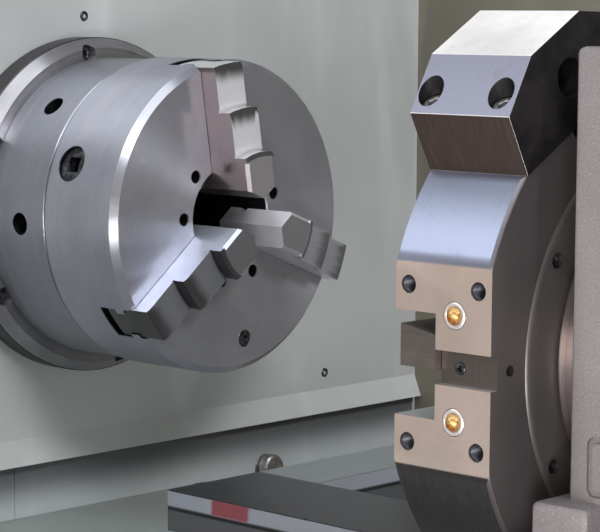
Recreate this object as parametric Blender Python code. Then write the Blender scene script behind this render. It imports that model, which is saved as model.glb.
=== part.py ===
"""A flat-bed CNC turning lathe: scroll chuck, six-station disc turret, tailstock and sliding door.

Metres, +Z up. X runs along the spindle towards the tailstock, Y away from the operator.
X = 0 is the front face of the chuck, Y = 0 is the spindle's axis and Z = 0 is the floor.
"""

import math

import bmesh
import bpy
from mathutils import Matrix, Vector

# Sizes that the whole machine follows
SEAT_GAP = 0.0003
CUT_OVERRUN = 0.002
WELD = 0.000001
SPINDLE_HEIGHT = 1.050
SHEET = 0.0025

# The chuck
CHUCK_RADIUS = 0.125
CHUCK_FRONT_LENGTH = 0.083
CHUCK_REAR_LENGTH = 0.067
CHUCK_BORE_RADIUS = 0.041
CHUCK_EDGE_CHAMFER = 0.005
CHUCK_STEP = 0.0015
JAW_COUNT = 3
FIRST_JAW_ANGLE = math.radians(99)
JAW_SPACING = math.tau / JAW_COUNT
PINION_ANGLE_STEP = JAW_SPACING / 2

# The spindle line
BACKPLATE_RIM = 0.0155
BACKPLATE_RADIUS = CHUCK_RADIUS + BACKPLATE_RIM
BACKPLATE_THICKNESS = 0.030
WALL_CLEARANCE = 0.0015
BACKPLATE_FRONT = -CHUCK_FRONT_LENGTH - CHUCK_REAR_LENGTH - SEAT_GAP
BACKPLATE_BACK = BACKPLATE_FRONT - BACKPLATE_THICKNESS
WALL_FACE = BACKPLATE_BACK - WALL_CLEARANCE
SPINDLE_BORE_RADIUS = 0.026

# The bed
WAY_DROP = 0.185
BED_HALF_WIDTH = 0.150
WAY_WIDTH = 0.095
WAY_DEPTH = 0.030
BED_HEIGHT = 0.315
BED_LEFT = -0.640
BED_RIGHT = 1.750
GAP_RIGHT = 0.087
GAP_FLOOR_DROP = 0.263
WAY_HEIGHT = SPINDLE_HEIGHT - WAY_DROP
BED_BOTTOM = WAY_HEIGHT - BED_HEIGHT
GAP_FLOOR = SPINDLE_HEIGHT - GAP_FLOOR_DROP

# The guards, from the tray's floor up
TRAY_THICKNESS = 0.004
TRAY_LIP = 0.055
TRAY_LEFT = -0.830
TRAY_RIGHT = 1.960
TRAY_FRONT = -0.640
TRAY_REAR = 0.470
TRAY_TOP = BED_BOTTOM - SEAT_GAP
TRAY_BOTTOM = TRAY_TOP - TRAY_THICKNESS
GUARD_RISE = 0.370
GUARD_TOP = SPINDLE_HEIGHT + GUARD_RISE
CABINET_FRONT = -0.560
CABINET_REAR = 0.440
CABINET_LEFT = -0.800

# The turret
TURRET_FRONT = 0.5917
TURRET_DEPTH = 0.0581
TURRET_Y = -0.3495
STATION_COUNT = 6
STATION_ANGLE = math.tau / STATION_COUNT
STATION_APOTHEM = 0.1284
STATION_HALF_FLAT = 0.0501
TURRET_RADIUS = math.hypot(STATION_APOTHEM, STATION_HALF_FLAT)

# The slides
SADDLE_LEFT = 0.656
SADDLE_LENGTH = 0.420
SADDLE_THICKNESS = 0.055
SLIDE_THICKNESS = 0.044
SADDLE_TOP = WAY_HEIGHT + SEAT_GAP + SADDLE_THICKNESS
SLIDE_BOTTOM = SADDLE_TOP + SEAT_GAP
SLIDE_TOP = SLIDE_BOTTOM + SLIDE_THICKNESS
HOUSING_BOTTOM = SLIDE_TOP + SEAT_GAP

# Facets round a full turn
FINE = 36
ROUND = 24
SMALL = 14
TINY = 10
FEWEST = 8

for old in list(bpy.data.objects):
    bpy.data.objects.remove(old)


def look(name, colour, roughness, metallic):
    """One Principled material."""
    made = bpy.data.materials.new(name)
    made.use_nodes = True
    shader = made.node_tree.nodes["Principled BSDF"]
    shader.inputs["Base Color"].default_value = (*colour, 1)
    shader.inputs["Roughness"].default_value = roughness
    shader.inputs["Metallic"].default_value = metallic
    return made


PALE_PAINT = look("pale grey-green paint", (0.38, 0.42, 0.41), 0.45, 0)
DARK_PAINT = look("dark grey paint", (0.11, 0.12, 0.12), 0.5, 0)
OLIVE_PAINT = look("olive grey paint", (0.19, 0.18, 0.14), 0.5, 0)
CAST_GREY = look("machined grey casting", (0.32, 0.31, 0.29), 0.6, 0.5)
GROUND_STEEL = look("ground steel", (0.48, 0.49, 0.52), 0.3, 1)
TURNED_STEEL = look("turned steel", (0.40, 0.41, 0.44), 0.35, 1)
DARK_STEEL = look("blackened steel", (0.10, 0.10, 0.10), 0.4, 0.9)
BRIGHT_STEEL = look("bright steel", (0.75, 0.74, 0.73), 0.25, 1)
BRASS = look("brass", (0.76, 0.52, 0.17), 0.3, 1)
BLACK_RUBBER = look("black rubber", (0.03, 0.03, 0.03), 0.8, 0)
BLACK_PLASTIC = look("black plastic", (0.04, 0.04, 0.04), 0.5, 0)
RED_PLASTIC = look("red plastic", (0.60, 0.03, 0.02), 0.35, 0)
CLEAR_PANE = look("clear pane", (0.75, 0.80, 0.78), 0.1, 0)


def block(low, high):
    """A box between two opposite corners."""
    shape = bmesh.new()
    size = Vector(high) - Vector(low)
    middle = (Vector(high) + Vector(low)) / 2
    bmesh.ops.create_cube(shape, size=1)
    place = Matrix.Translation(middle) @ Matrix.Diagonal((*size, 1))
    bmesh.ops.transform(shape, matrix=place, verts=shape.verts)
    return shape


def eased_block(low, high, edge):
    """A box with every edge chamfered."""
    shape = block(low, high)
    bmesh.ops.bevel(shape, geom=shape.edges, offset=edge, segments=1, affect="EDGES")
    return shape


def prism(outline, axis, start, end):
    """An outline pushed along an axis. Its points run along the two other axes, in X, Y, Z order."""
    shape = bmesh.new()
    spot = "XYZ".index(axis)
    corners = []
    for point in outline:
        place = list(point)
        place.insert(spot, start)
        corners.append(shape.verts.new(place))
    face = shape.faces.new(corners)
    pushed = bmesh.ops.extrude_face_region(shape, geom=[face])["geom"]
    step = Vector((0, 0, 0))
    step[spot] = end - start
    moving = [item for item in pushed if isinstance(item, bmesh.types.BMVert)]
    bmesh.ops.translate(shape, vec=step, verts=moving)
    bmesh.ops.recalc_face_normals(shape, faces=shape.faces)
    return shape


def along_axis(axis):
    """The turn that lays something modelled along X onto another axis."""
    turns = {
        "X": Matrix.Identity(4),
        "Y": Matrix.Rotation(math.pi / 2, 4, "Z"),
        "Z": Matrix.Rotation(-math.pi / 2, 4, "Y"),
    }
    return turns[axis]


def turned(profile, axis, segments):
    """A profile of (along, radius) points turned about an axis. It closes on itself or on the axis."""
    shape = bmesh.new()
    points = [shape.verts.new((along, radius, 0)) for along, radius in profile]
    lines = [shape.edges.new(pair) for pair in zip(points, points[1:])]
    if min(radius for _, radius in profile) > 0:
        lines.append(shape.edges.new((points[-1], points[0])))
    bmesh.ops.spin(
        shape,
        geom=points + lines,
        cent=(0, 0, 0),
        axis=(1, 0, 0),
        angle=math.tau,
        steps=segments,
        use_merge=True,
    )
    bmesh.ops.remove_doubles(shape, verts=shape.verts, dist=WELD)
    bmesh.ops.recalc_face_normals(shape, faces=shape.faces)
    bmesh.ops.transform(shape, matrix=along_axis(axis), verts=shape.verts)
    return shape


def rod(axis, start, end, radius, segments, centre=(0, 0, 0)):
    """A cylinder along an axis through a centre point."""
    profile = [(start, 0), (start, radius), (end, radius), (end, 0)]
    return moved(turned(profile, axis, segments), Matrix.Translation(centre))


def tube(axis, start, end, inner, outer, segments, centre=(0, 0, 0)):
    """A cylinder with a bore."""
    profile = [(start, inner), (start, outer), (end, outer), (end, inner)]
    return moved(turned(profile, axis, segments), Matrix.Translation(centre))


def round_hole(radius, segments):
    """The corner radius of a faceted hole in which a round of this radius can turn."""
    return radius / math.cos(math.pi / segments)


def moved(shape, matrix):
    bmesh.ops.transform(shape, matrix=matrix, verts=shape.verts)
    return shape


def about_spindle(angle):
    """A turn about X, measured from +Y towards +Z."""
    return Matrix.Rotation(angle, 4, "X")


def together(shapes):
    """Several shapes in one mesh, such as a pattern of cutters."""
    whole = bmesh.new()
    for shape in shapes:
        part = bpy.data.meshes.new("part")
        shape.to_mesh(part)
        shape.free()
        whole.from_mesh(part)
        bpy.data.meshes.remove(part)
    return whole


def rounded_outline(low, high, radius, steps):
    """A rectangle with round corners, as outline points."""
    points = []
    corners = ((high[0], high[1], 0), (low[0], high[1], 1), (low[0], low[1], 2), (high[0], low[1], 3))
    for first, second, quarter in corners:
        centre_first = first - math.copysign(radius, first - (low[0] + high[0]) / 2)
        centre_second = second - math.copysign(radius, second - (low[1] + high[1]) / 2)
        for step in range(steps + 1):
            angle = (quarter + step / steps) * math.pi / 2
            points.append((centre_first + radius * math.cos(angle), centre_second + radius * math.sin(angle)))
    return points


def carrier(name, place):
    """An empty on a joint's axis, which carries the pieces that move with it."""
    holder = bpy.data.objects.new(name, None)
    holder.location = place
    bpy.context.scene.collection.objects.link(holder)
    return holder


def place_object(name, shape, holder, place, turn):
    mesh = bpy.data.meshes.new(name)
    shape.to_mesh(mesh)
    shape.free()
    made = bpy.data.objects.new(name, mesh)
    made.location = place
    made.rotation_euler = (turn, 0, 0)
    made.parent = holder
    bpy.context.scene.collection.objects.link(made)
    return made


def piece(name, shape, finish, holder=None, place=(0, 0, 0), turn=0, adds=(), cuts=()):
    """One solid of the machine, with shapes joined to it and then cut from it."""
    made = place_object(name, shape, holder, place, turn)
    made.data.materials.append(finish)
    for operation, shapes in (("UNION", adds), ("DIFFERENCE", cuts)):
        for number, other in enumerate(shapes, 1):
            helper = place_object(f"{name}_{operation.lower()}_{number}", other, holder, place, turn)
            helper.hide_render = True
            helper.display_type = "WIRE"
            change = made.modifiers.new(helper.name, "BOOLEAN")
            change.operation = operation
            change.object = helper
    made.data.shade_smooth()
    made.data.set_sharp_from_angle(angle=math.radians(30))
    return made


# The door's place, which the tray's rail follows
DOOR_LEFT = -0.760
DOOR_RIGHT = 0.380
DOOR_THICKNESS = 0.022
DOOR_GAP = 0.006
RAIL_WIDTH = 0.012
RAIL_HEIGHT = 0.030
FRONT_PANEL_LEFT = 0.950
door_rear = CABINET_FRONT - DOOR_GAP
door_front = door_rear - DOOR_THICKNESS
door_middle = (door_rear + door_front) / 2
rail_top = TRAY_TOP + TRAY_LIP + RAIL_HEIGHT

# The pedestals: two cabinets under the bed, with a toe recess all round and a lid seam on the front
PEDESTAL_HALF_DEPTH = 0.270
PEDESTAL_EDGE = 0.012
TOE_HEIGHT = 0.070
TOE_DEPTH = 0.030
PEDESTAL_TOP = TRAY_BOTTOM - SEAT_GAP
PEDESTAL_SPANS = {"left_pedestal": (-0.740, 0.100), "right_pedestal": (1.200, 1.760)}
SEAM_WIDTH = 0.004
SEAM_DEPTH = 0.003
SEAM_MARGIN = 0.060

for pedestal_name, (pedestal_left, pedestal_right) in PEDESTAL_SPANS.items():
    body = rounded_outline(
        (pedestal_left, -PEDESTAL_HALF_DEPTH), (pedestal_right, PEDESTAL_HALF_DEPTH), PEDESTAL_EDGE, 3
    )
    toe = block(
        (pedestal_left + TOE_DEPTH, -PEDESTAL_HALF_DEPTH + TOE_DEPTH, 0),
        (pedestal_right - TOE_DEPTH, PEDESTAL_HALF_DEPTH - TOE_DEPTH, TOE_HEIGHT + CUT_OVERRUN),
    )
    seam_low = (pedestal_left + SEAM_MARGIN, TOE_HEIGHT + SEAM_MARGIN)
    seam_high = (pedestal_right - SEAM_MARGIN, PEDESTAL_TOP - SEAM_MARGIN)
    front = -PEDESTAL_HALF_DEPTH
    seams = []
    for low, high in (
        (seam_low, (seam_low[0] + SEAM_WIDTH, seam_high[1])),
        ((seam_high[0] - SEAM_WIDTH, seam_low[1]), seam_high),
    ):
        seams.append(
            block((low[0], front - CUT_OVERRUN, low[1]), (high[0], front + SEAM_DEPTH, high[1]))
        )
    across = []
    for height in (seam_low[1], seam_high[1] - SEAM_WIDTH):
        across.append(
            block(
                (seam_low[0], front - CUT_OVERRUN, height),
                (seam_high[0], front + SEAM_DEPTH, height + SEAM_WIDTH),
            )
        )
    piece(
        pedestal_name,
        prism(body, "Z", TOE_HEIGHT, PEDESTAL_TOP),
        DARK_PAINT,
        adds=[toe],
        cuts=[together(seams), together(across)],
    )

# The chip tray: a folded pan that the bed stands in, with a lip all round and the door's rail
tray_rail = block(
    (DOOR_LEFT, door_middle - RAIL_WIDTH / 2, TRAY_TOP - TRAY_THICKNESS / 2),
    (FRONT_PANEL_LEFT - SEAT_GAP, door_middle + RAIL_WIDTH / 2, rail_top),
)
chip_tray = piece(
    "chip_tray",
    block((TRAY_LEFT, TRAY_FRONT, TRAY_BOTTOM), (TRAY_RIGHT, TRAY_REAR, TRAY_TOP + TRAY_LIP)),
    PALE_PAINT,
    cuts=[
        block(
            (TRAY_LEFT + TRAY_THICKNESS, TRAY_FRONT + TRAY_THICKNESS, TRAY_TOP),
            (TRAY_RIGHT - TRAY_THICKNESS, TRAY_REAR - TRAY_THICKNESS, TRAY_TOP + TRAY_LIP + CUT_OVERRUN),
        )
    ],
)
rail = place_object("tray_rail", tray_rail, None, (0, 0, 0), 0)
rail.hide_render = True
rail.display_type = "WIRE"
rail_join = chip_tray.modifiers.new("rail", "BOOLEAN")
rail_join.operation = "UNION"
rail_join.object = rail

# The bed: one casting with two flat ways on overhanging rails, open between them except at its ribs
RAIL_OVERHANG = 0.014
BED_FOOT_HEIGHT = 0.030
RIB_THICKNESS = 0.030
POCKET_COUNT = 6
bed_gap_left = WALL_FACE - SHEET * 2 - SEAT_GAP * 2
BED_END_WALL = 0.060
bed_inner = BED_HALF_WIDTH - RAIL_OVERHANG
bed_section = []
for side in (-1, 1):
    flank = [
        (side * bed_inner, BED_BOTTOM + BED_FOOT_HEIGHT),
        (side * bed_inner, WAY_HEIGHT - WAY_DEPTH),
        (side * BED_HALF_WIDTH, WAY_HEIGHT - WAY_DEPTH),
        (side * BED_HALF_WIDTH, WAY_HEIGHT),
    ]
    foot = [(side * BED_HALF_WIDTH, BED_BOTTOM), (side * BED_HALF_WIDTH, BED_BOTTOM + BED_FOOT_HEIGHT)]
    bed_section += foot + flank if side < 0 else (foot + flank)[::-1]
pocket_start = GAP_RIGHT + BED_END_WALL
pocket_pitch = (BED_RIGHT - BED_END_WALL + RIB_THICKNESS - pocket_start) / POCKET_COUNT
bed_pockets = []
for number in range(POCKET_COUNT):
    left = pocket_start + number * pocket_pitch
    bed_pockets.append(
        block(
            (left, WAY_WIDTH - BED_HALF_WIDTH, BED_BOTTOM - CUT_OVERRUN),
            (left + pocket_pitch - RIB_THICKNESS, BED_HALF_WIDTH - WAY_WIDTH, WAY_HEIGHT + CUT_OVERRUN),
        )
    )
piece(
    "lathe_bed",
    prism(bed_section, "X", BED_LEFT, BED_RIGHT),
    PALE_PAINT,
    cuts=[
        block(
            (bed_gap_left, -BED_HALF_WIDTH - CUT_OVERRUN, GAP_FLOOR),
            (GAP_RIGHT, BED_HALF_WIDTH + CUT_OVERRUN, WAY_HEIGHT + CUT_OVERRUN),
        ),
        together(bed_pockets),
    ],
)

# The headstock: a casting on the bed's left end, bored through for the spindle and its two bearings
HEADSTOCK_LEFT = -0.620
HEADSTOCK_TOP_RISE = 0.165
HEADSTOCK_CHAMFER = 0.040
HEADSTOCK_GAP = 0.010
SPINDLE_RADIUS = 0.045
SPINDLE_CLEARANCE = 0.008
BEARING_RADIUS = 0.080
BEARING_WIDTH = 0.040
headstock_right = WALL_FACE - SHEET - HEADSTOCK_GAP
headstock_base = WAY_HEIGHT + SEAT_GAP - SPINDLE_HEIGHT
spindle_line = carrier("spindle_line", (0, 0, SPINDLE_HEIGHT))
headstock_outline = [
    (-BED_HALF_WIDTH, headstock_base),
    (BED_HALF_WIDTH, headstock_base),
    (BED_HALF_WIDTH, HEADSTOCK_TOP_RISE - HEADSTOCK_CHAMFER),
    (BED_HALF_WIDTH - HEADSTOCK_CHAMFER, HEADSTOCK_TOP_RISE),
    (HEADSTOCK_CHAMFER - BED_HALF_WIDTH, HEADSTOCK_TOP_RISE),
    (-BED_HALF_WIDTH, HEADSTOCK_TOP_RISE - HEADSTOCK_CHAMFER),
]
headstock_bore = turned(
    [
        (HEADSTOCK_LEFT - CUT_OVERRUN, 0),
        (HEADSTOCK_LEFT - CUT_OVERRUN, BEARING_RADIUS),
        (HEADSTOCK_LEFT + BEARING_WIDTH, BEARING_RADIUS),
        (HEADSTOCK_LEFT + BEARING_WIDTH, SPINDLE_RADIUS + SPINDLE_CLEARANCE),
        (headstock_right - BEARING_WIDTH, SPINDLE_RADIUS + SPINDLE_CLEARANCE),
        (headstock_right - BEARING_WIDTH, BEARING_RADIUS),
        (headstock_right + CUT_OVERRUN, BEARING_RADIUS),
        (headstock_right + CUT_OVERRUN, 0),
    ],
    "X",
    ROUND,
)
piece(
    "headstock",
    prism(headstock_outline, "X", HEADSTOCK_LEFT, headstock_right),
    CAST_GREY,
    spindle_line,
    cuts=[headstock_bore],
)

# The two spindle bearings, each a plain ring in its seat
bearing_starts = {
    "rear_spindle_bearing": HEADSTOCK_LEFT,
    "front_spindle_bearing": headstock_right - BEARING_WIDTH + SEAT_GAP,
}
for bearing_name, bearing_start in bearing_starts.items():
    piece(
        bearing_name,
        tube(
            "X",
            bearing_start,
            bearing_start + BEARING_WIDTH - SEAT_GAP,
            round_hole(SPINDLE_RADIUS + SEAT_GAP, ROUND),
            BEARING_RADIUS - SEAT_GAP,
            ROUND,
        ),
        BRIGHT_STEEL,
        spindle_line,
    )

# The spindle: a bored shaft with a nose flange that the back plate bolts to
SPINDLE_TAIL = -0.760
NOSE_RADIUS = 0.078
NOSE_LENGTH = 0.009
nose_front = BACKPLATE_BACK - SEAT_GAP
piece(
    "spindle",
    turned(
        [
            (SPINDLE_TAIL, SPINDLE_BORE_RADIUS),
            (SPINDLE_TAIL, SPINDLE_RADIUS - SPINDLE_CLEARANCE),
            (HEADSTOCK_LEFT - SEAT_GAP, SPINDLE_RADIUS - SPINDLE_CLEARANCE),
            (HEADSTOCK_LEFT - SEAT_GAP, SPINDLE_RADIUS),
            (nose_front - NOSE_LENGTH, SPINDLE_RADIUS),
            (nose_front - NOSE_LENGTH, NOSE_RADIUS),
            (nose_front, NOSE_RADIUS),
            (nose_front, SPINDLE_BORE_RADIUS),
        ],
        "X",
        ROUND,
    ),
    GROUND_STEEL,
    spindle_line,
)

# The drive: a motor behind the headstock, two flanged pulleys and a flat belt
DRIVE_Y = 0.290
MOTOR_RADIUS = 0.105
MOTOR_FOOT_HEIGHT = 0.0803
DRIVE_HEIGHT = TRAY_TOP + MOTOR_FOOT_HEIGHT + MOTOR_RADIUS
MOTOR_LEFT = -0.620
MOTOR_RIGHT = -0.310
MOTOR_SHAFT_RADIUS = 0.014
MOTOR_FOOT_HALF = 0.090
PULLEY_LEFT = -0.710
PULLEY_WIDTH = 0.050
PULLEY_FLANGE_WIDTH = 0.005
PULLEY_FLANGE_RISE = 0.006
SPINDLE_PULLEY_RADIUS = 0.085
MOTOR_PULLEY_RADIUS = 0.055
BELT_THICKNESS = 0.005
drive_line = carrier("drive_line", (0, DRIVE_Y, DRIVE_HEIGHT))


def pulley_rim(radius):
    """The face of a flat pulley, with a flange at each side."""
    left = PULLEY_LEFT
    right = PULLEY_LEFT + PULLEY_WIDTH
    rim = radius + PULLEY_FLANGE_RISE
    return [
        (left, rim),
        (left + PULLEY_FLANGE_WIDTH, rim),
        (left + PULLEY_FLANGE_WIDTH, radius),
        (right - PULLEY_FLANGE_WIDTH, radius),
        (right - PULLEY_FLANGE_WIDTH, rim),
        (right, rim),
    ]


pulley_right = PULLEY_LEFT + PULLEY_WIDTH
spindle_pulley_bore = SPINDLE_RADIUS - SPINDLE_CLEARANCE + SEAT_GAP
piece(
    "spindle_pulley",
    turned(
        [
            (PULLEY_LEFT, spindle_pulley_bore),
            *pulley_rim(SPINDLE_PULLEY_RADIUS),
            (pulley_right, spindle_pulley_bore),
        ],
        "X",
        ROUND,
    ),
    CAST_GREY,
    spindle_line,
)
shaft_end = MOTOR_LEFT + PULLEY_WIDTH - SEAT_GAP
piece(
    "motor_pulley",
    turned(
        [
            (PULLEY_LEFT, 0),
            *pulley_rim(MOTOR_PULLEY_RADIUS),
            (pulley_right, MOTOR_SHAFT_RADIUS),
            (shaft_end, MOTOR_SHAFT_RADIUS),
            (shaft_end, 0),
        ],
        "X",
        ROUND,
    ),
    CAST_GREY,
    drive_line,
)

motor_base = TRAY_TOP + SEAT_GAP - DRIVE_HEIGHT
motor_bore = round_hole(MOTOR_SHAFT_RADIUS + SEAT_GAP, SMALL)
piece(
    "spindle_motor",
    turned(
        [
            (MOTOR_LEFT, 0),
            (MOTOR_LEFT, MOTOR_RADIUS),
            (MOTOR_RIGHT, MOTOR_RADIUS),
            (MOTOR_RIGHT, 0),
        ],
        "X",
        ROUND,
    ),
    DARK_PAINT,
    drive_line,
    adds=[
        block(
            (MOTOR_LEFT + MOTOR_SHAFT_RADIUS, -MOTOR_FOOT_HALF, motor_base),
            (MOTOR_RIGHT - MOTOR_SHAFT_RADIUS, MOTOR_FOOT_HALF, 0),
        )
    ],
    cuts=[rod("X", MOTOR_LEFT - CUT_OVERRUN, MOTOR_LEFT + PULLEY_WIDTH, motor_bore, SMALL)],
)


def belt_outline(rise, steps):
    """The belt's path round both pulleys, raised above their faces."""
    offset = Vector((DRIVE_Y, DRIVE_HEIGHT - SPINDLE_HEIGHT))
    large = SPINDLE_PULLEY_RADIUS + SEAT_GAP + rise
    small = MOTOR_PULLEY_RADIUS + SEAT_GAP + rise
    heading = math.atan2(offset.y, offset.x)
    lean = math.acos((large - small) / offset.length)
    points = []
    for step in range(steps + 1):
        angle = heading + lean + (math.tau - 2 * lean) * step / steps
        points.append((large * math.cos(angle), large * math.sin(angle)))
    for step in range(steps + 1):
        angle = heading - lean + 2 * lean * step / steps
        points.append((offset.x + small * math.cos(angle), offset.y + small * math.sin(angle)))
    return points


belt_left = PULLEY_LEFT + PULLEY_FLANGE_WIDTH + SEAT_GAP
belt_right = PULLEY_LEFT + PULLEY_WIDTH - PULLEY_FLANGE_WIDTH - SEAT_GAP
piece(
    "drive_belt",
    prism(belt_outline(BELT_THICKNESS, ROUND), "X", belt_left, belt_right),
    BLACK_RUBBER,
    spindle_line,
    cuts=[prism(belt_outline(0, ROUND), "X", belt_left - CUT_OVERRUN, belt_right + CUT_OVERRUN)],
)

# The wall between headstock and work space: a sheet with a drip lip along its lower edge
WALL_BOTTOM_DROP = 0.2157
LIP_HEIGHT = 0.021
LIP_REACH = 0.009
WALL_HOLE_RADIUS = 0.110
wall_bottom = SPINDLE_HEIGHT - WALL_BOTTOM_DROP
wall_back = WALL_FACE - SHEET
wall_section = [
    (wall_back, GUARD_TOP),
    (wall_back, wall_bottom + LIP_HEIGHT),
    (wall_back + LIP_REACH, wall_bottom),
    (WALL_FACE + LIP_REACH, wall_bottom),
    (WALL_FACE, wall_bottom + LIP_HEIGHT),
    (WALL_FACE, GUARD_TOP),
]
wall_front_edge = CABINET_FRONT + SHEET + SEAT_GAP
wall_rear_edge = CABINET_REAR - SHEET - SEAT_GAP
piece(
    "headstock_wall",
    prism(wall_section, "Y", CABINET_FRONT, wall_rear_edge),
    PALE_PAINT,
    cuts=[
        rod(
            "X",
            wall_back - CUT_OVERRUN,
            WALL_FACE + CUT_OVERRUN,
            WALL_HOLE_RADIUS,
            ROUND,
            (0, 0, SPINDLE_HEIGHT),
        )
    ],
)

# The recessed panel under the wall: a sheet behind its lip, notched over the bed's gap floor
RECESS_TOP_LAP = 0.012
RECESS_SEAM_Y = -0.072
RECESS_SEAM_WIDTH = 0.0015
RECESS_SEAM_DEPTH = 0.001
recess_face = wall_back - SEAT_GAP
recess_back = recess_face - SHEET
recess_top = wall_bottom + LIP_HEIGHT + RECESS_TOP_LAP
recess_bottom = TRAY_TOP + SEAT_GAP
notch_half = BED_HALF_WIDTH + SEAT_GAP
recess_outline = [
    (wall_front_edge, recess_bottom),
    (-notch_half, recess_bottom),
    (-notch_half, GAP_FLOOR + SEAT_GAP),
    (notch_half, GAP_FLOOR + SEAT_GAP),
    (notch_half, recess_bottom),
    (wall_rear_edge, recess_bottom),
    (wall_rear_edge, recess_top),
    (wall_front_edge, recess_top),
]
piece(
    "recess_panel",
    prism(recess_outline, "X", recess_back, recess_face),
    PALE_PAINT,
    cuts=[
        block(
            (recess_face - RECESS_SEAM_DEPTH, RECESS_SEAM_Y - RECESS_SEAM_WIDTH / 2, recess_bottom),
            (recess_face + CUT_OVERRUN, RECESS_SEAM_Y + RECESS_SEAM_WIDTH / 2, recess_top + CUT_OVERRUN),
        )
    ],
)

# The headstock cover: front, top and rear folded from one sheet, with an end cover over the pulleys
COVER_CORNER = 0.030
COVER_STEPS = 5
cover_bottom = TRAY_TOP + SEAT_GAP
cover_right = wall_back - SEAT_GAP


def cover_outline(inset):
    """Front, rounded top corners and rear of the cover, as a closed outline."""
    radius = COVER_CORNER - inset
    rear = CABINET_REAR - inset
    front = CABINET_FRONT + inset
    top = GUARD_TOP - inset
    points = [(front, cover_bottom), (rear, cover_bottom)]
    for step in range(COVER_STEPS + 1):
        angle = math.pi / 2 * step / COVER_STEPS
        points.append((rear - radius + radius * math.cos(angle), top - radius + radius * math.sin(angle)))
    for step in range(COVER_STEPS + 1):
        angle = math.pi / 2 * (1 + step / COVER_STEPS)
        points.append((front + radius + radius * math.cos(angle), top - radius + radius * math.sin(angle)))
    return points


cover_inside = [
    (first, second - CUT_OVERRUN if second == cover_bottom else second)
    for first, second in cover_outline(SHEET)
]
piece(
    "headstock_cover",
    prism(cover_outline(0), "X", CABINET_LEFT, cover_right),
    PALE_PAINT,
    cuts=[prism(cover_inside, "X", CABINET_LEFT - CUT_OVERRUN, cover_right + CUT_OVERRUN)],
)
END_COVER_DEPTH = 0.020
piece(
    "end_cover",
    prism(cover_outline(0), "X", CABINET_LEFT - END_COVER_DEPTH, CABINET_LEFT - SEAT_GAP),
    PALE_PAINT,
)

# The back plate: the flange between spindle nose and chuck, with a chamfered rim and socket screws
BACKPLATE_CHAMFER = 0.010
BACKPLATE_CHAMFER_WIDTH = 0.0085
BACKPLATE_BOLT_INSET = 0.0127
BACKPLATE_BOLT_CIRCLE = BACKPLATE_RADIUS - BACKPLATE_BOLT_INSET
BACKPLATE_BOLT_RADIUS = 0.0052
BACKPLATE_BOLT_DEPTH = 0.006
BACKPLATE_BOLT_MIDDLE = math.radians(154.8)
BACKPLATE_BOLT_SPREAD = math.radians(57.2)
backplate_bolts = []
for half_turn in (0, math.pi):
    for step in (-1, 0, 1):
        pocket = rod(
            "X",
            BACKPLATE_FRONT - BACKPLATE_BOLT_DEPTH,
            BACKPLATE_FRONT + CUT_OVERRUN,
            BACKPLATE_BOLT_RADIUS,
            TINY,
            (0, BACKPLATE_BOLT_CIRCLE, 0),
        )
        angle = BACKPLATE_BOLT_MIDDLE + half_turn + step * BACKPLATE_BOLT_SPREAD
        backplate_bolts.append(moved(pocket, about_spindle(angle)))
piece(
    "chuck_back_plate",
    turned(
        [
            (BACKPLATE_BACK, SPINDLE_BORE_RADIUS),
            (BACKPLATE_BACK, BACKPLATE_RADIUS),
            (BACKPLATE_FRONT - BACKPLATE_CHAMFER, BACKPLATE_RADIUS),
            (BACKPLATE_FRONT, BACKPLATE_RADIUS - BACKPLATE_CHAMFER_WIDTH),
            (BACKPLATE_FRONT, SPINDLE_BORE_RADIUS),
        ],
        "X",
        FINE,
    ),
    DARK_STEEL,
    spindle_line,
    cuts=[together(backplate_bolts)],
)

# Inside the chuck: where the scroll, its spiral and the pinions lie
HUB_RADIUS = 0.0465
CHUCK_WALL = 0.0205
SCROLL_RIM_GAP = 0.0015
SCROLL_CAVITY_RADIUS = CHUCK_RADIUS - CHUCK_WALL
SCROLL_RADIUS = SCROLL_CAVITY_RADIUS - SCROLL_RIM_GAP
SCROLL_SPIRAL_TOP = -0.0305
SCROLL_SPIRAL_HEIGHT = 0.0060
SCROLL_PLATE = 0.0080
SCROLL_RUNNING_GAP = 0.0004
PINION_X = -0.0574
PINION_HOLE_RADIUS = 0.0145
PINION_HEAD_RADIUS = 0.0140
PINION_GEAR_LENGTH = 0.0250
PINION_GEAR_OUTER = SCROLL_RADIUS
PINION_GEAR_INNER = PINION_GEAR_OUTER - PINION_GEAR_LENGTH
PINION_GEAR_RADIUS = 0.0125
PINION_STUB_RADIUS = 0.0050
PINION_HEAD_RECESS = 0.0030
PINION_TEETH = 6
CROWN_TEETH = 48
TOOTH_SPACE_HALF = 0.0019
TOOTH_SPACE_DEPTH = 0.0026
KEY_SQUARE = 0.0120
KEY_DEPTH = 0.0160
BOSS_CLEARANCE = 0.0060
BOSS_RADIUS = PINION_GEAR_INNER - BOSS_CLEARANCE
STUB_START_SHARE = 0.3725
PINION_STUB_INNER = HUB_RADIUS + (BOSS_RADIUS - HUB_RADIUS) * STUB_START_SHARE
scroll_plate_front = SCROLL_SPIRAL_TOP - SCROLL_SPIRAL_HEIGHT
scroll_plate_back = scroll_plate_front - SCROLL_PLATE
boss_front = scroll_plate_back - SCROLL_RUNNING_GAP
cavity_front = SCROLL_SPIRAL_TOP + SCROLL_RUNNING_GAP

# The jaws' guides: a slot with a tongue on each side
JAW_WIDTH = 0.030
JAW_GAP = 0.0004
JAW_BASE = -0.0300
JAW_TONGUE_FRONT = -0.0110
JAW_TONGUE_BACK = -0.0190
JAW_TONGUE_DEPTH = 0.0040
JAW_TIP = 0.0176
JAW_TIP_HALF_ANGLE = math.radians(60)
JAW_INSET = 0.0015
JAW_OUTER = CHUCK_RADIUS - JAW_INSET
SLOT_DEPTH = 0.0370


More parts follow.
